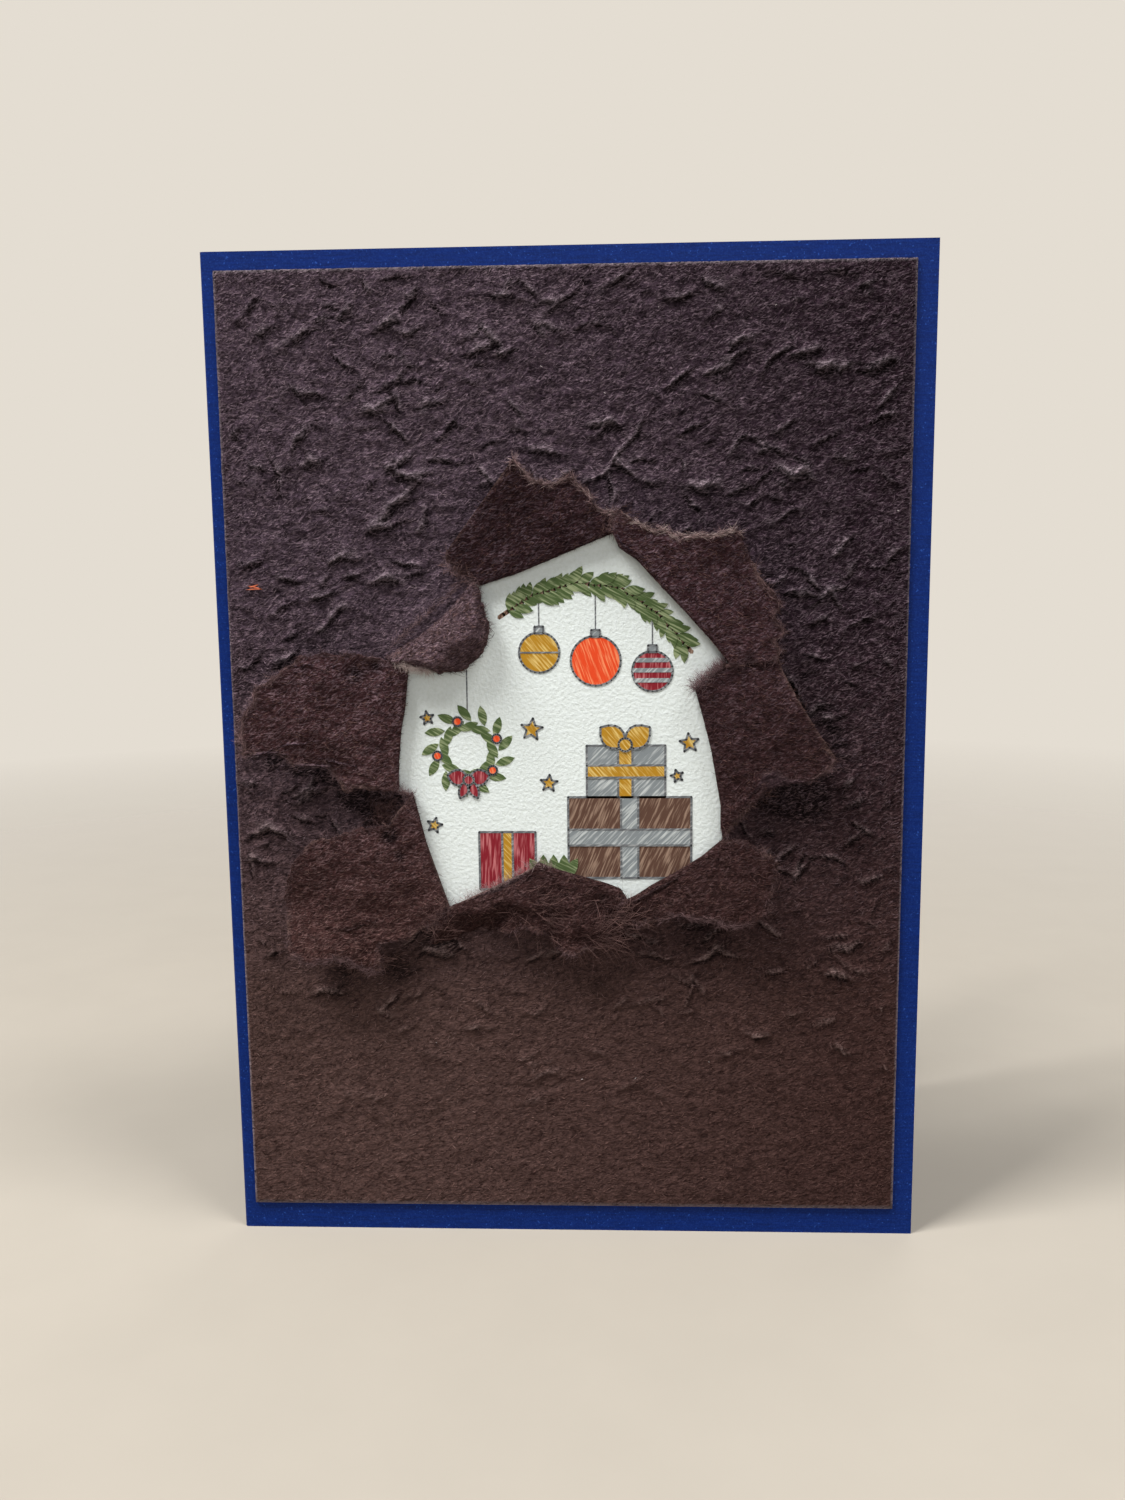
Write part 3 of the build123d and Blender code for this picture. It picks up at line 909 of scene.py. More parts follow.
def panelNap(grid, normals, count, rng):
    # On the sheet's front the fibres follow its colour: darker to the right, warmer to the foot.
    slant = nap["turn"], nap["turnSpread"], nap["radius"]
    shapes, shade, at = layNap(grid, normals, count, rng, *slant, True)
    return shapes, shade * (1 - 0.4 * smooth(at[:, 0], -30, 60)), 1 - smooth(at[:, 2], 30, 120)


def flapNap(skin, normals, facts, count, rng):
    # On a flap all the fibres are warm, and as dark as the flap with its level of painted shading.
    slant = facts["nap"], nap["flapSpread"], nap["flapRadius"]
    shapes, shade, at = layNap(skin, normals, count, rng, *slant)
    return shapes, shade * nap["flapShade"] * (1 - facts["paintedShading"]), 1


fuzz = {
    "perMillimetre": 13.0, "length": (0.4, 2.6), "radius": (0.02, 0.045),
    "band": 1.2,  # the hairs start within this distance of the torn edge
    "clump": 4.0,  # the hairs come and go along the edge in clumps of about this length
    "foldPerMillimetre": 7.0, "foldLength": (0.2, 0.7), "foldBand": 0.4,
    "seed": 81,
}


def layFuzz(line, outward, normal, density, lengths, band, rng):
    # Loose hairs in a band along a torn edge, fanned about the way the sheet runs out.
    steps = np.linalg.norm(np.diff(line, axis=0), axis=1) * 1000
    reach = np.concatenate([[0], np.cumsum(steps)])
    count = int(reach[-1] * density)
    where = rng.uniform(0, reach[-1], count)
    at, out, up = (
        np.stack([np.interp(where, reach, values[:, k]) for k in range(3)], -1)
        for values in (line, outward, normal)
    )
    out, up = unit(out), unit(up)
    along = np.cross(up, out)
    fan = rng.normal(0, 0.9, (count, 1))
    tilt = rng.normal(0.12, 0.25, (count, 1))
    lie = unit(out * np.cos(fan) + along * np.sin(fan) + up * tilt)
    up = unit(up - lie * (up * lie).sum(-1, keepdims=True))
    lane = where * 0 + rng.uniform(0, 99)
    strong = smooth(bumpNoise(where, lane, fuzz["clump"], fuzz["seed"]), -0.3, 0.5)
    length = rng.random(count) ** 2 * (lengths[1] - lengths[0]) * (0.4 + 0.6 * strong) + lengths[0]
    radius = rng.uniform(*fuzz["radius"], count)
    curl = rng.normal(0, 0.6, count)
    lift = rng.normal(0, 0.2, count)
    shade = (0.1 + 0.75 * rng.random(count)) * (0.35 + 0.65 * strong)
    inward = rng.uniform(0.1, band, (count, 1)) / 1000
    return fibreShapes(at - out * inward, lie, up, length, radius, curl, lift, 2), shade, 0.65


def edgeFuzz(skin, normals, rng, keen=0.0):
    # Hairs along the far edge past its keen share, the two sides and the fold.
    groups = []
    rim = flapGrid["rootRows"] + flapGrid["foldRows"]
    torn = fuzz["perMillimetre"], fuzz["length"], fuzz["band"], rng
    ragged = int(keen * skin.shape[1])
    outward = skin[-1] - skin[-3]
    groups.append(layFuzz(skin[-1, ragged:], outward[ragged:], normals[-1, ragged:], *torn))
    left, right = skin[rim:, 0], skin[rim:, -1]
    groups.append(layFuzz(left, left - skin[rim:, 2], normals[rim:, 0], *torn))
    groups.append(layFuzz(right, right - skin[rim:, -3], normals[rim:, -1], *torn))
    inward = (skin[rim] - skin[rim + 5]) * (1, 0, 1)
    facing = np.tile((0.0, -1.0, 0.0), (len(inward), 1))
    folded = fuzz["foldPerMillimetre"], fuzz["foldLength"], fuzz["foldBand"], rng
    groups.append(layFuzz(skin[rim], inward, facing, *folded))
    return groups


# Rims: pale strands that lie along a part of a flap's far edge, in shares of its length

rims = [  # flap, share of its far edge, number of strands, shade
    ("flap_top", (0.46, 1.0), 640, 1.5),
    ("flap_upper_right", (0.06, 0.46), 640, 1.8),
    ("flap_upper_right", (0.62, 1.0), 200, 0.8),
    ("flap_right", (0.55, 0.75), 90, 0.6),
    ("flap_lower_right", (0.36, 0.8), 360, 0.7),
    ("flap_lower_left", (0.0, 0.42), 420, 0.7),
    ("flap_left", (0.48, 0.88), 300, 1.0),
    ("flap_left", (0.05, 0.45), 220, 0.5),
]
rimHair = {
    "length": (0.7, 2.6), "radius": (0.025, 0.05), "inset": (-0.2, 0.22), "raised": (0, 0.3),
    "fan": 0.24, "curl": 0.25, "lift": (0.03, 0.06), "warmth": 0.7,
}


def layRim(span, count, bright, skin, normals, rng):
    # Each strand starts near the torn edge and runs along it, either way, turned a little out or in.
    last = skin.shape[1] - 1
    where = rng.uniform(*span, count) * last
    low = np.clip(where.astype(int), 0, last - 1)
    part = (where - low)[:, None]
    line, up = skin[-1], normals[-1]
    out = unit(line - skin[-4])[low]
    base = line[low] * (1 - part) + line[low + 1] * part
    inset = rng.normal(*rimHair["inset"], (count, 1))
    raised = rng.uniform(*rimHair["raised"], (count, 1))
    base += (out * inset + up[low] * raised) / 1000
    along = unit(line[low + 1] - line[low]) * rng.choice((-1, 1), (count, 1))
    fan = rng.normal(0, rimHair["fan"], (count, 1))
    lie = unit(along * np.cos(fan) + out * np.sin(fan))
    facing = unit(up[low] - lie * (up[low] * lie).sum(-1, keepdims=True))
    length = rng.uniform(*rimHair["length"], count)
    radius = rng.uniform(*rimHair["radius"], count)
    curl, lift = rng.normal(0, rimHair["curl"], count), rng.normal(*rimHair["lift"], count)
    shade = bright * (0.35 + 0.65 * rng.random(count))
    return fibreShapes(base, lie, facing, length, radius, curl, lift, 1), shade, rimHair["warmth"]


# Tufts: thick soft fringes where a fold was torn through, along a line and towards a side

tufts = [
    {"line": [(34.4, 12.2), (31.0, 9.2), (27.7, 6.8)], "towards": (-0.6, 0.8), "out": 2.6,
     "count": 1500, "pale": -0.15, "length": (0.6, 3.4)},
    # This fringe faces away from the lamps and is painted pale: partly its own pale fibres, partly painted
    # light.
    {"line": [(-34.2, 13.2), (-31.5, 12.6), (-27.0, 11.6)], "towards": (0.1, -1.0), "out": 4.0,
     "count": 640, "pale": 1.0},
    {"line": [(-35.5, 16.4), (-28.0, 22.6), (-20.4, 29.2)], "towards": (0.75, 0.66), "out": 3.0,
     "count": 420, "fan": 0.2},
    {"line": [(-35.2, -14.2), (-31.6, -15.4)], "towards": (0.5, 0.9), "out": 2.6, "count": 260},
    {"line": [(-21.5, -37.8), (-12.5, -34.2), (-5.6, -29.9), (-2.0, -31.0)], "towards": (-0.3, 1.0),
     "out": 2.8, "count": 640, "pale": 0.4},
    {"line": [(-23.5, 33.6), (-18.8, 30.2), (-17.0, 28.8)], "towards": (-0.6, -0.5), "out": 2.8,
     "count": 300},
]
tuftHair = {
    "length": (0.4, 2.3), "radius": (0.016, 0.032), "fan": 0.7, "pale": 0.0, "spread": (0.35, 0.5),
    "tip": (-0.1, 0.35), "curl": 0.5, "lift": 0.2, "darkest": 0.2, "warmth": 0.6,
}


def layTuft(facts, rng):
    # Hairs scattered about a line, fanned round one direction, most of them short.
    facts = {**tuftHair, **facts}
    count = facts["count"]
    line = alongLine(facts["line"], rng.random(count))
    flatSpread, outSpread = facts["spread"]
    x, y = (line + rng.normal(0, flatSpread, line.shape)).T
    base = onCard(x, y, facts["out"] + rng.normal(0, outSpread, count))
    angle = math.atan2(*facts["towards"][::-1]) + rng.normal(0, facts["fan"], count)
    lie = unit(slanted(angle, rng.normal(*facts["tip"], count)))
    low, high = facts["length"]
    length = low + (high - low) * rng.random(count) ** 1.7
    radius = rng.uniform(*facts["radius"], count)
    curl, lift = (rng.normal(0, facts[key], count) for key in ("curl", "lift"))
    shapes = fibreShapes(base, lie, facingOut(lie), length, radius, curl, lift, 2)
    return shapes, facts["pale"] + facts["darkest"] + rng.random(count), facts["warmth"]


# Tangles: long loose fibres where the sheet tore slowly, each heap about a place on the card, its
# hairs near one slant or any way round

tangles = [  # place, spread, height off the card, length, slant and its spread, number, shade
    # The first heap sits in the shadowed hollow between the two left flaps and is painted darker: painted
    # shade.
    ((-38.0, -20.0), (4.0, 3.2), (1.6, 3.4), (1.5, 5.0), (20, 60), 300, 0.35),
    ((3.0, -45.0), (7.0, 3.0), (3.0, 5.4), (2.5, 8.0), (-6, 28), 620, 1.0),
    ((-5.0, -40.0), (7.0, 4.0), (3.0, 5.0), (2.0, 6.5), (-12, 30), 420, 1.0),
    ((12.0, -41.5), (4.0, 2.4), (2.6, 5.0), (2.0, 6.0), (10, 35), 260, 1.0),
    ((-27.0, -43.0), (3.6, 3.6), (2.0, 4.4), (1.5, 4.5), (60, 50), 260, 1.0),
    ((-42.0, -50.5), (5.0, 1.6), (3.0, 5.0), (1.5, 4.0), (10, 40), 200, 1.0),
    ((40.0, 12.4), (3.0, 1.0), (2.6, 4.0), (1.0, 3.0), (15, 40), 120, 1.0),
    ((11.2, 42.0), (2.4, 1.8), (2.4, 4.2), (1.0, 3.5), (-40, 50), 160, 1.0),
    ((-21.0, 31.5), (2.4, 2.0), (2.0, 3.6), (1.0, 3.5), (50, 50), 160, 1.0),
    ((41.5, -13.0), (2.0, 3.4), (3.0, 5.0), (1.0, 3.5), (70, 40), 140, 1.0),
    ((42.0, -33.0), (2.0, 5.0), (3.6, 6.0), (1.0, 3.5), (75, 30), 160, 1.0),
]
tangleHair = {
    "radius": (0.025, 0.055), "tip": 0.15, "curl": 0.45, "lift": 0.06, "warmth": 0.9, "seed": 91,
}


def layTangle(facts, rng):
    # Hairs about a place, thickest in its middle, each at its own height and slant.
    at, spread, out, lengths, slant, count, bright = facts
    x, y = (rng.normal(at[k], spread[k] / 2, count) for k in (0, 1))
    base = onCard(x, y, rng.uniform(*out, count))
    angle = np.radians(rng.normal(*slant, count))
    lie = unit(slanted(angle, rng.normal(0, tangleHair["tip"], count)))
    length = rng.uniform(*lengths, count)
    radius = rng.uniform(*tangleHair["radius"], count)
    curl, lift = (rng.normal(0, tangleHair[key], count) for key in ("curl", "lift"))
    shade = rng.random(count) ** 1.2 * bright
    shapes = fibreShapes(base, lie, facingOut(lie), length, radius, curl, lift, 3)
    return shapes, shade, tangleHair["warmth"]


# Stray bits: an orange thread end, a curled hair at the tongue's tip, and lint

strays = {
    "threads": [(-65.6, 28.2, 8.0, 3.6), (-65.2, 29.0, -6.0, 3.0), (-64.9, 28.6, 24.0, 2.2)],
    "tip": (-15.6, 18.4),
    "lint": 12, "lintLength": (0.25, 0.6), "lintRadius": (0.06, 0.11), "lintGap": 0.00012,
    "seed": 95,
}


def strayMaterial():
    n = Nodes("stray")
    colour = n.mix(n.mark("shade"), tint(206, 118, 88), tint(176, 166, 164))
    return n.set(Base_Color=colour, Roughness=0.9, Specular_IOR_Level=0.1)


def layStrays(grid, normals, material):
    # The orange thread lies on the sheet; lint is a few very short pale fibres.
    rng = np.random.default_rng(strays["seed"])
    threads = np.array(strays["threads"])
    count = len(threads)
    base = onCard(threads[:, 0], threads[:, 1], np.full(count, 1.5))
    angle = np.radians(threads[:, 2])
    lie = slanted(angle)
    facing = np.tile((0.0, -1.0, 0.0), (count, 1))
    thick, curl, lift = np.full(count, 0.16), np.full(count, 0.12), np.full(count, 0.02)
    thread = fibreShapes(base, lie, facing, threads[:, 3], thick, curl, lift, 3)
    few = strays["lint"]
    at, normal = spots(grid, normals, few, rng, True)
    turn = rng.uniform(0, math.tau, few)
    flat = slanted(turn)
    lie = unit(flat - normal * (flat * normal).sum(-1, keepdims=True))
    length, radius = rng.uniform(*strays["lintLength"], few), rng.uniform(*strays["lintRadius"], few)
    curl, lift = rng.normal(0, 0.3, few), np.full(few, 0.1)
    speck = fibreShapes(at + normal * strays["lintGap"], lie, normal, length, radius, curl, lift, 3)
    addFibres("stray_bits", [(thread, np.zeros(count), 0), (speck, np.ones(few), 0)], material)


def tipHair():
    # One hair that leaves the tongue's tip and curls back, in three bowed lengths.
    x, y = strays["tip"]
    base = onCard(np.array([x, x + 1.2, x + 1.9]), np.array([y, y - 0.5, y + 0.7]), np.full(3, 4.6))
    angle = np.radians([-38.0, 40.0, 118.0])
    facing = np.tile((0.0, -1.0, 0.0), (3, 1))
    length, radius, curl = np.array([1.5, 1.6, 1.8]), np.full(3, 0.06), np.full(3, -0.35)
    shape = fibreShapes(base, slanted(angle), facing, length, radius, curl, np.zeros(3), 3)
    return shape, np.full(3, 0.1), 1


# Navy board and white picture sheet

board = {
    "blue": tint(6, 37, 106),
    "deep": tint(4, 28, 84),
    "glint": tint(44, 84, 168),
}


def boardMaterial():
    # Satin blue with a fine level grain and a few pale glints.
    n = Nodes("navyBoard")
    grain = n.noise(1.0, 2.0, n.mapped((0.0055, 0.0055, 0.0004)))
    shimmer = n.noise(3200, 2.0)
    spark = n.ramp(n.noise(2200, 0.0), 0.76, 0.82)
    base = n.mix(n.ramp(grain, 0.3, 0.7), board["deep"], board["blue"])
    soft = n.mix(n.ramp(shimmer, 0.45, 0.8, 0.0, 0.22), base, board["glint"])
    colour = n.mix(n.math("MULTIPLY", spark, 0.55), soft, board["glint"])
    normal = n.bump(shimmer, 0.00004)
    return n.set(Base_Color=colour, Roughness=0.5, Normal=normal, Specular_IOR_Level=0.1)


picturePaper = {"white": tint(226, 232, 229), "shade": tint(219, 225, 220)}


def pictureMaterial():
    # Cold-pressed white: small soft dimples.
    n = Nodes("picturePaper")
    dimples = n.noise(1300, 2.0)
    # The white is a little darker where the dimples are low: painted shade in the dimples.
    colour = n.mix(n.ramp(dimples, 0.35, 0.65), picturePaper["shade"], picturePaper["white"])
    normal = n.bump(dimples, 0.00016)
    return n.set(Base_Color=colour, Roughness=0.9, Normal=normal, Specular_IOR_Level=0.2)


# Picture: plain winter things drawn in pencil, as thin closed plates on the white sheet

pencil = {
    "green": (tint(74, 92, 52), tint(150, 160, 120)),
    "gold": (tint(176, 128, 30), tint(218, 188, 112)),
    "orange": (tint(226, 72, 30), tint(240, 136, 90)),
    "wine": (tint(128, 26, 38), tint(190, 110, 112)),
    "umber": (tint(88, 62, 50), tint(150, 124, 106)),
    "silver": (tint(128, 134, 136), tint(190, 194, 192)),
    "line": (tint(96, 98, 100), tint(150, 152, 152)),
}
drawing = {
    "layer": 0.015,  # each later layer stands this much prouder, in millimetres
    "gap": 0.002,  # between the plates' backs and the sheet
    "outline": 0.45,  # width of the line round a coloured shape
    "seed": 101,
}


def pencilMaterial(name, turn):
    # Hatching: long thin noise cells let the pale tone show between the strokes.
    n = Nodes("pencil_" + name)
    strokes = n.noise(1.0, 2.0, n.mapped((0.005, 0.005, 0.00045), (0, turn, 0)))
    full, pale = pencil[name]
    colour = n.mix(n.ramp(strokes, 0.48, 0.66), full, pale)
    return n.set(Base_Color=colour, Roughness=0.8, Specular_IOR_Level=0.2)


def plate(outline, layer):
    # A closed plate over an outline that can be seen whole from its middle.
    outline = np.asarray(outline, float)
    x, y = outline.T
    if np.sum(x * np.roll(y, -1) - y * np.roll(x, -1)) < 0:  # drawn clockwise
        outline = outline[::-1]
    count = len(outline)
    centre = outline.mean(0, keepdims=True)
    flat = np.concatenate([outline, centre])
    top = onCard(flat[:, 0], flat[:, 1], pictureFace + drawing["layer"] * (layer + 1))
    low = onCard(flat[:, 0], flat[:, 1], pictureFace + drawing["gap"])
    ring = np.arange(count)
    following = np.roll(ring, -1)
    middleTop, base = count, count + 1
    faces = [np.stack([ring, following, np.full(count, middleTop)], -1)]
    faces.append(np.stack([following, ring, np.full(count, middleTop)], -1) + base)
    faces.append(np.stack([ring, ring + base, following + base], -1))
    faces.append(np.stack([ring, following + base, following], -1))
    return np.concatenate([top, low]), np.concatenate(faces)


def stroke(points, width, layer, closed=False):
    # A closed flat band along a line, from short plates that overlap at the joints.
    points = np.asarray(points, float)
    if closed:
        points = np.concatenate([points, points[:1]])
    parts = []
    for a, b in zip(points[:-1], points[1:]):
        along = (b - a) / max(np.linalg.norm(b - a), 1e-9)
        side = np.array([-along[1], along[0]]) * width / 2
        tip = along * width * 0.4
        corners = [a - side - tip * 0.4, b - side, b + tip, b + side, a + side, a - tip]
        parts.append(plate(corners, layer))
    return parts


def disc(x, y, radius, count=28):
    # Points of a circle.
    turn = np.arange(count) * math.tau / count
    return np.stack([x + radius * np.cos(turn), y + radius * np.sin(turn)], -1)


def star(x, y, radius, turn=0.0):
    # Five points, and five notches at under half their reach.
    angle = np.arange(10) * math.tau / 10 + math.pi / 2 + turn
    reach = np.where(np.arange(10) % 2 == 0, radius, radius * 0.45)
    return np.stack([x + reach * np.cos(angle), y + reach * np.sin(angle)], -1)


def leaf(x, y, length, angle, width=0.36):
    # Two bowed edges from stalk to tip, turned to the angle.
    share = np.linspace(0, 1, 7)
    half = width * length * np.sin(math.pi * share) ** 0.8 / 1.7
    along = np.concatenate([share, share[-2:0:-1]]) * length
    over = np.concatenate([half, -half[-2:0:-1]])
    c, s = math.cos(angle), math.sin(angle)
    return np.stack([x + along * c - over * s, y + along * s + over * c], -1)


def box(x0, y0, x1, y1):
    return [(x0, y0), (x1, y0), (x1, y1), (x0, y1)]


def drawPicture():
    # Everything is gathered by pencil, and each pencil becomes one piece.
    drawn = {name: [] for name in pencil}
    rng = np.random.default_rng(drawing["seed"])

    def fill(name, outline, layer):
        drawn[name].append(plate(outline, layer))
        drawn["line"].extend(stroke(outline, drawing["outline"], layer + 2, closed=True))

    bend = [(-13, 22), (-6, 26.5), (3, 29), (12, 28), (20, 22.5), (27, 14.5)]
    bough = alongLine(bend, np.linspace(0, 1, 40))
    drawn["umber"].extend(stroke(bough, 0.9, 1))
    for k in range(2, 38):
        heading = math.atan2(*(bough[k + 1] - bough[k - 1])[::-1])
        for side in (-1, 1):
            angle = heading + side * rng.uniform(0.6, 1.0)
            size = rng.uniform(3.0, 4.3)
            layer = 3 + 2 * (k % 5) + (side + 1) / 2
            drawn["green"].append(plate(leaf(bough[k, 0], bough[k, 1], size, angle), layer))
    ornaments = ((8, 8.0, 4.2, "gold"), (18, 10.5, 5.2, "orange"), (29, 8.5, 4.2, "wine"))
    for at, drop, radius, colour in ornaments:
        x, y = bough[at]
        drawn["line"].extend(stroke([(x, y), (x, y - drop)], 0.3, 1))
        centre = y - drop - radius
        fill(colour, disc(x, centre, radius), 5)
        fill("silver", box(x - 0.9, centre + radius - 0.2, x + 0.9, centre + radius + 1.2), 8)
        if colour == "wine":
            for level in (-0.45, 0.05, 0.55):
                half = radius * math.sqrt(1 - level**2) - 0.3
                band = [(x - half, centre + level * radius), (x + half, centre + level * radius)]
                drawn["silver"].extend(stroke(band, 0.9, 9))
        if colour == "gold":
            drawn["line"].extend(stroke([(x - radius, centre), (x + radius, centre)], 0.35, 9))
    wreathX, wreathY, leaves = -20.0, -6.0, 26
    for k in range(leaves):
        spin = k * math.tau / leaves
        x, y = wreathX + 6.4 * math.cos(spin), wreathY + 6.4 * math.sin(spin)
        lean = spin + math.pi / 2 + (0.75 if k % 2 else -0.75)
        drawn["green"].append(plate(leaf(x, y, 4.4, lean), 3 + 0.7 * (k % 7)))
    for spin in (0.4, 1.9, 3.3, 5.6):
        x, y = wreathX + 6.6 * math.cos(spin), wreathY + 6.6 * math.sin(spin)
        fill("orange", disc(x, y, 0.95, 14), 10)
    drawn["line"].extend(stroke([(wreathX, 1.2), (wreathX, 11.0)], 0.3, 1))
    for side in (-1, 1):
        fill("wine", leaf(wreathX, -12.2, 4.6, math.pi / 2 - side * 1.35, 0.62), 11 + side)
        fill("wine", leaf(wreathX, -12.2, 4.4, -math.pi / 2 + side * 0.45, 0.4), 14 + side)
    fill("wine", disc(wreathX, -12.2, 1.1, 14), 18)
    fill("umber", box(1.0, -33.5, 27.0, -16.0), 3)
    fill("silver", box(12.2, -33.5, 15.8, -16.0), 6)
    fill("silver", box(1.0, -26.4, 27.0, -23.0), 9)
    fill("silver", box(5.0, -16.0, 21.5, -5.0), 3)
    fill("gold", box(11.6, -16.0, 14.6, -5.0), 6)
    fill("gold", box(5.0, -11.8, 21.5, -9.2), 9)
    for side in (-1, 1):
        fill("gold", leaf(13.1, -5.2, 6.6, math.pi / 2 - side * 0.9, 0.62), 12 + side)
    fill("gold", disc(13.1, -4.8, 1.4, 16), 17)
    fill("wine", box(-18.0, -36.0, -6.0, -23.5), 3)
    fill("gold", box(-13.1, -36.0, -10.9, -23.5), 6)
    for x, y, size in ((-6.5, -1.5, 2.4), (-3.0, -13.0, 1.9), (26.5, -4.5, 2.1), (-28.5, 1.0, 1.5),
                       (-27.5, -22.0, 1.7), (24.0, -11.5, 1.4)):
        fill("gold", star(x, y, size, rng.uniform(-0.3, 0.3)), 3)
    for tuft, x in enumerate((-4.4, -2.2, 0.0)):
        for side in (-1, 0, 1):
            layer = 5 + 3 * tuft + side
            drawn["green"].append(plate(leaf(x, -34.0, 5.6, math.pi / 2 + side * 0.55), layer))
    for turn, (name, parts) in enumerate(drawn.items()):
        points, faces, start = [], [], 0
        for corner, face in parts:
            points.append(corner)
            faces.append(face + start)
            start += len(corner)
        material = pencilMaterial(name, 0.5 + 0.37 * turn)
        piece = makePiece("pencil_" + name, np.concatenate(points), np.concatenate(faces), material)
        piece.data.polygons.foreach_set("use_smooth", np.zeros(len(piece.data.polygons), bool))


def paintNode(node, material):
    mesh = frame["nodes"][node].data
    mesh.materials.clear()
    mesh.materials.append(material)


# Stage, light and camera

stage = {
    "floor": tint(172, 164, 152),  # as the camera sees it
    "bounce": tint(150, 143, 133),  # as the object sees it, so that little light comes up from below
    "backdrop": tint(228, 221, 210),
    "middle": (0.0, 0.03),
    "hub": 0.04,  # radius of the disc's innermost ring
    "fade": (0.22, 0.75),  # radii between which the floor gives way to the backdrop
    "rings": 24,
    "spokes": 96,
}


def seenDirectly(tree):
    # 1 for rays that come straight from the camera, or by way of a mirroring or clear surface.
    path = tree.nodes.new("ShaderNodeLightPath").outputs
    seen = path["Is Camera Ray"]
    for ray in ("Is Glossy Ray", "Is Transmission Ray"):
        either = tree.nodes.new("ShaderNodeMath")
        either.operation = "MAXIMUM"
        tree.links.new(seen, either.inputs[0])
        tree.links.new(path[ray], either.inputs[1])
        seen = either.outputs["Value"]
    return seen


def buildStage():
    # A level disc about the card, clear towards its rim, where the backdrop shows through.
    radius = np.linspace(stage["hub"], stage["fade"][1], stage["rings"])[:, None]
    angle = np.linspace(0, math.tau, stage["spokes"], endpoint=False)[None, :]
    x = stage["middle"][0] + radius * np.cos(angle)
    y = stage["middle"][1] + radius * np.sin(angle)
    points = np.stack([x, y, 0 * x], -1).reshape(-1, 3)
    faces = gridQuads(stage["rings"], stage["spokes"], True).tolist() + [list(range(stage["spokes"]))]
    n = Nodes("paleFloor")
    speckle = n.ramp(n.noise(35, 4.0), 0.3, 0.7, 0.97, 1.0)
    pale = n.mix(1.0, stage["floor"], speckle, "MULTIPLY")
    colour = n.mix(seenDirectly(n.tree), stage["bounce"], pale)
    ends = {0: n.objectPlace, 1: (*stage["middle"], 0)}
    offset = n.add("ShaderNodeVectorMath", ends, operation="DISTANCE")
    solid = n.ramp(offset.outputs["Value"], *stage["fade"], 1.0, 0.0)
    material = n.set(Base_Color=colour, Roughness=0.85, Specular_IOR_Level=0.1, Alpha=solid)
    mesh = bpy.data.meshes.new("floor")
    mesh.from_pydata(points.tolist(), [], faces)
    mesh.materials.append(material)
    floor = bpy.data.objects.new("floor", mesh)
    bpy.context.scene.collection.objects.link(floor)
    floor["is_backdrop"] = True


lights = {
    "keyLeft": {"at": (-0.6, -0.4, 1.2), "size": (0.46, 0.34), "power": 22.4},
    "keyRight": {"at": (0.48, -0.34, 1.2), "size": (0.46, 0.34), "power": 9.9},
    "fill": {"at": (0.2, -1.4, 0.5), "size": (0.9, 0.7), "power": 4.2},
    "behind": {"at": (0.6, 1.3, 0.4), "size": (0.9, 0.6), "power": 6.0},
}
lightAim = Vector((0.0, 0.0, 0.11))
room = {"colour": (0.95, 0.97, 1.0, 1.0), "strength": 0.22}


def buildLights():
    for name, facts in lights.items():
        lamp = bpy.data.lights.new(name, "AREA")
        lamp.shape = "RECTANGLE"
        lamp.size, lamp.size_y = facts["size"]
        lamp.energy = facts["power"]
        holder = bpy.data.objects.new(name, lamp)
        holder.location = facts["at"]
        holder.rotation_euler = (lightAim - Vector(facts["at"])).to_track_quat("-Z", "Y").to_euler()
        bpy.context.scene.collection.objects.link(holder)
    world = bpy.data.worlds.new("room")
    world.use_nodes = True
    tree = world.node_tree
    background = tree.nodes["Background"]
    shown = tree.nodes.new("ShaderNodeMix")
    shown.data_type = "RGBA"
    shown.inputs[6].default_value = [c * room["strength"] for c in room["colour"][:3]] + [1.0]
    shown.inputs[7].default_value = stage["backdrop"]
    tree.links.new(seenDirectly(tree), shown.inputs[0])
    tree.links.new(shown.outputs[2], background.inputs["Color"])
    bpy.context.scene.world = world


camera = {
    "at": (0.01148, -0.29237, 0.15350),
    "turn": (81.160, 0.598, 2.469),
    "lens": 33.72,
}


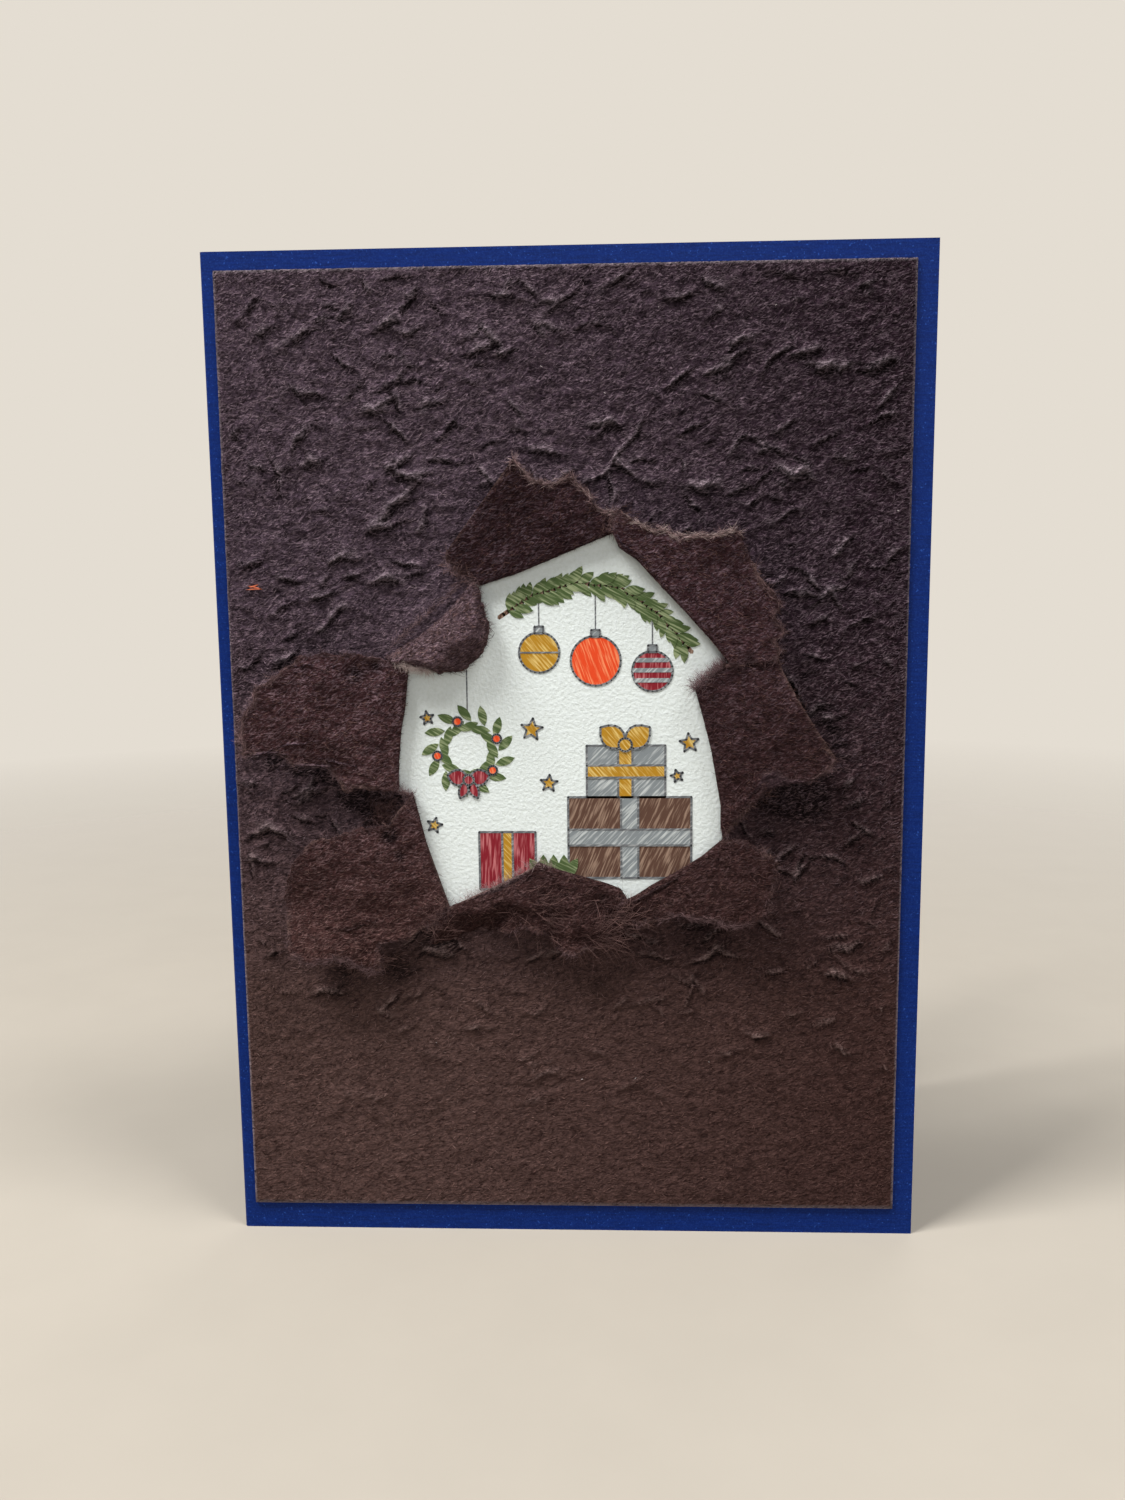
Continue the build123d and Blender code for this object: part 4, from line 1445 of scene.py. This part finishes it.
def buildCamera():
    eye = bpy.data.cameras.new("camera")
    eye.lens = camera["lens"]
    eye.clip_start = 0.01
    holder = bpy.data.objects.new("camera", eye)
    holder.location = camera["at"]
    holder.rotation_euler = Euler([math.radians(a) for a in camera["turn"]])
    bpy.context.scene.collection.objects.link(holder)
    bpy.context.scene.camera = holder
    bpy.context.scene.view_settings.view_transform = "Standard"


buildStage()
buildLights()
buildCamera()
print("stage, lights and camera set")

paintNode("folded_card", boardMaterial())
paintNode("picture_card", pictureMaterial())
drawPicture()
print("board painted and picture drawn")

paper = brownPaperMaterial()
panelFront = buildPanel(paper)
flapSkins = {name: buildFlap(name, facts, paper) for name, facts in flapFacts.items()}
tongueSkin = buildTongue(paper)
print("brown paper built")

fibre = fibreMaterial()
napRng = np.random.default_rng(nap["seed"])
panelNormals = gridNormals(panelFront, around=True)
halfCount = nap["panelCount"] // 2
for half in ("a", "b"):
    addFibres("sheet_nap_" + half, [panelNap(panelFront, panelNormals, halfCount, napRng)], fibre)
perFlap = nap["flapCount"] // (len(flapSkins) + 1)
rimRow = flapGrid["rootRows"] + flapGrid["foldRows"]
laid = []
for name, (skin, normals) in flapSkins.items():
    laid.append(flapNap(skin[rimRow:], normals[rimRow:], flapFacts[name], perFlap, napRng))
tongueNap = layNap(*tongueSkin, perFlap, napRng, nap["turn"], nap["turnSpread"], nap["radius"])
laid.append((tongueNap[0], tongueNap[1], tongue["napWarmth"]))
addFibres("flap_nap", laid, fibre)
fuzzRng = np.random.default_rng(fuzz["seed"])
hairs = edgeFuzz(*tongueSkin, fuzzRng)
for name, (skin, normals) in flapSkins.items():
    hairs.extend(edgeFuzz(skin, normals, fuzzRng, flapFacts[name].get("keen", 0.0)))
hairs.extend(layTuft(facts, fuzzRng) for facts in tufts)
hairs.extend(layRim(*facts, *flapSkins[name], fuzzRng) for name, *facts in rims)
addFibres("torn_fuzz", hairs, fibre)
tangleRng = np.random.default_rng(tangleHair["seed"])
heaps = [layTangle(facts, tangleRng) for facts in tangles]
addFibres("torn_tangles", heaps + [tipHair()], fibre)
layStrays(panelFront, panelNormals, strayMaterial())
print("fibres laid")

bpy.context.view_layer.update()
sides = sum(len(p.vertices) - 2 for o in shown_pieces() if o.type == "MESH" for p in o.data.polygons)
print("triangles in the pieces:", sides)
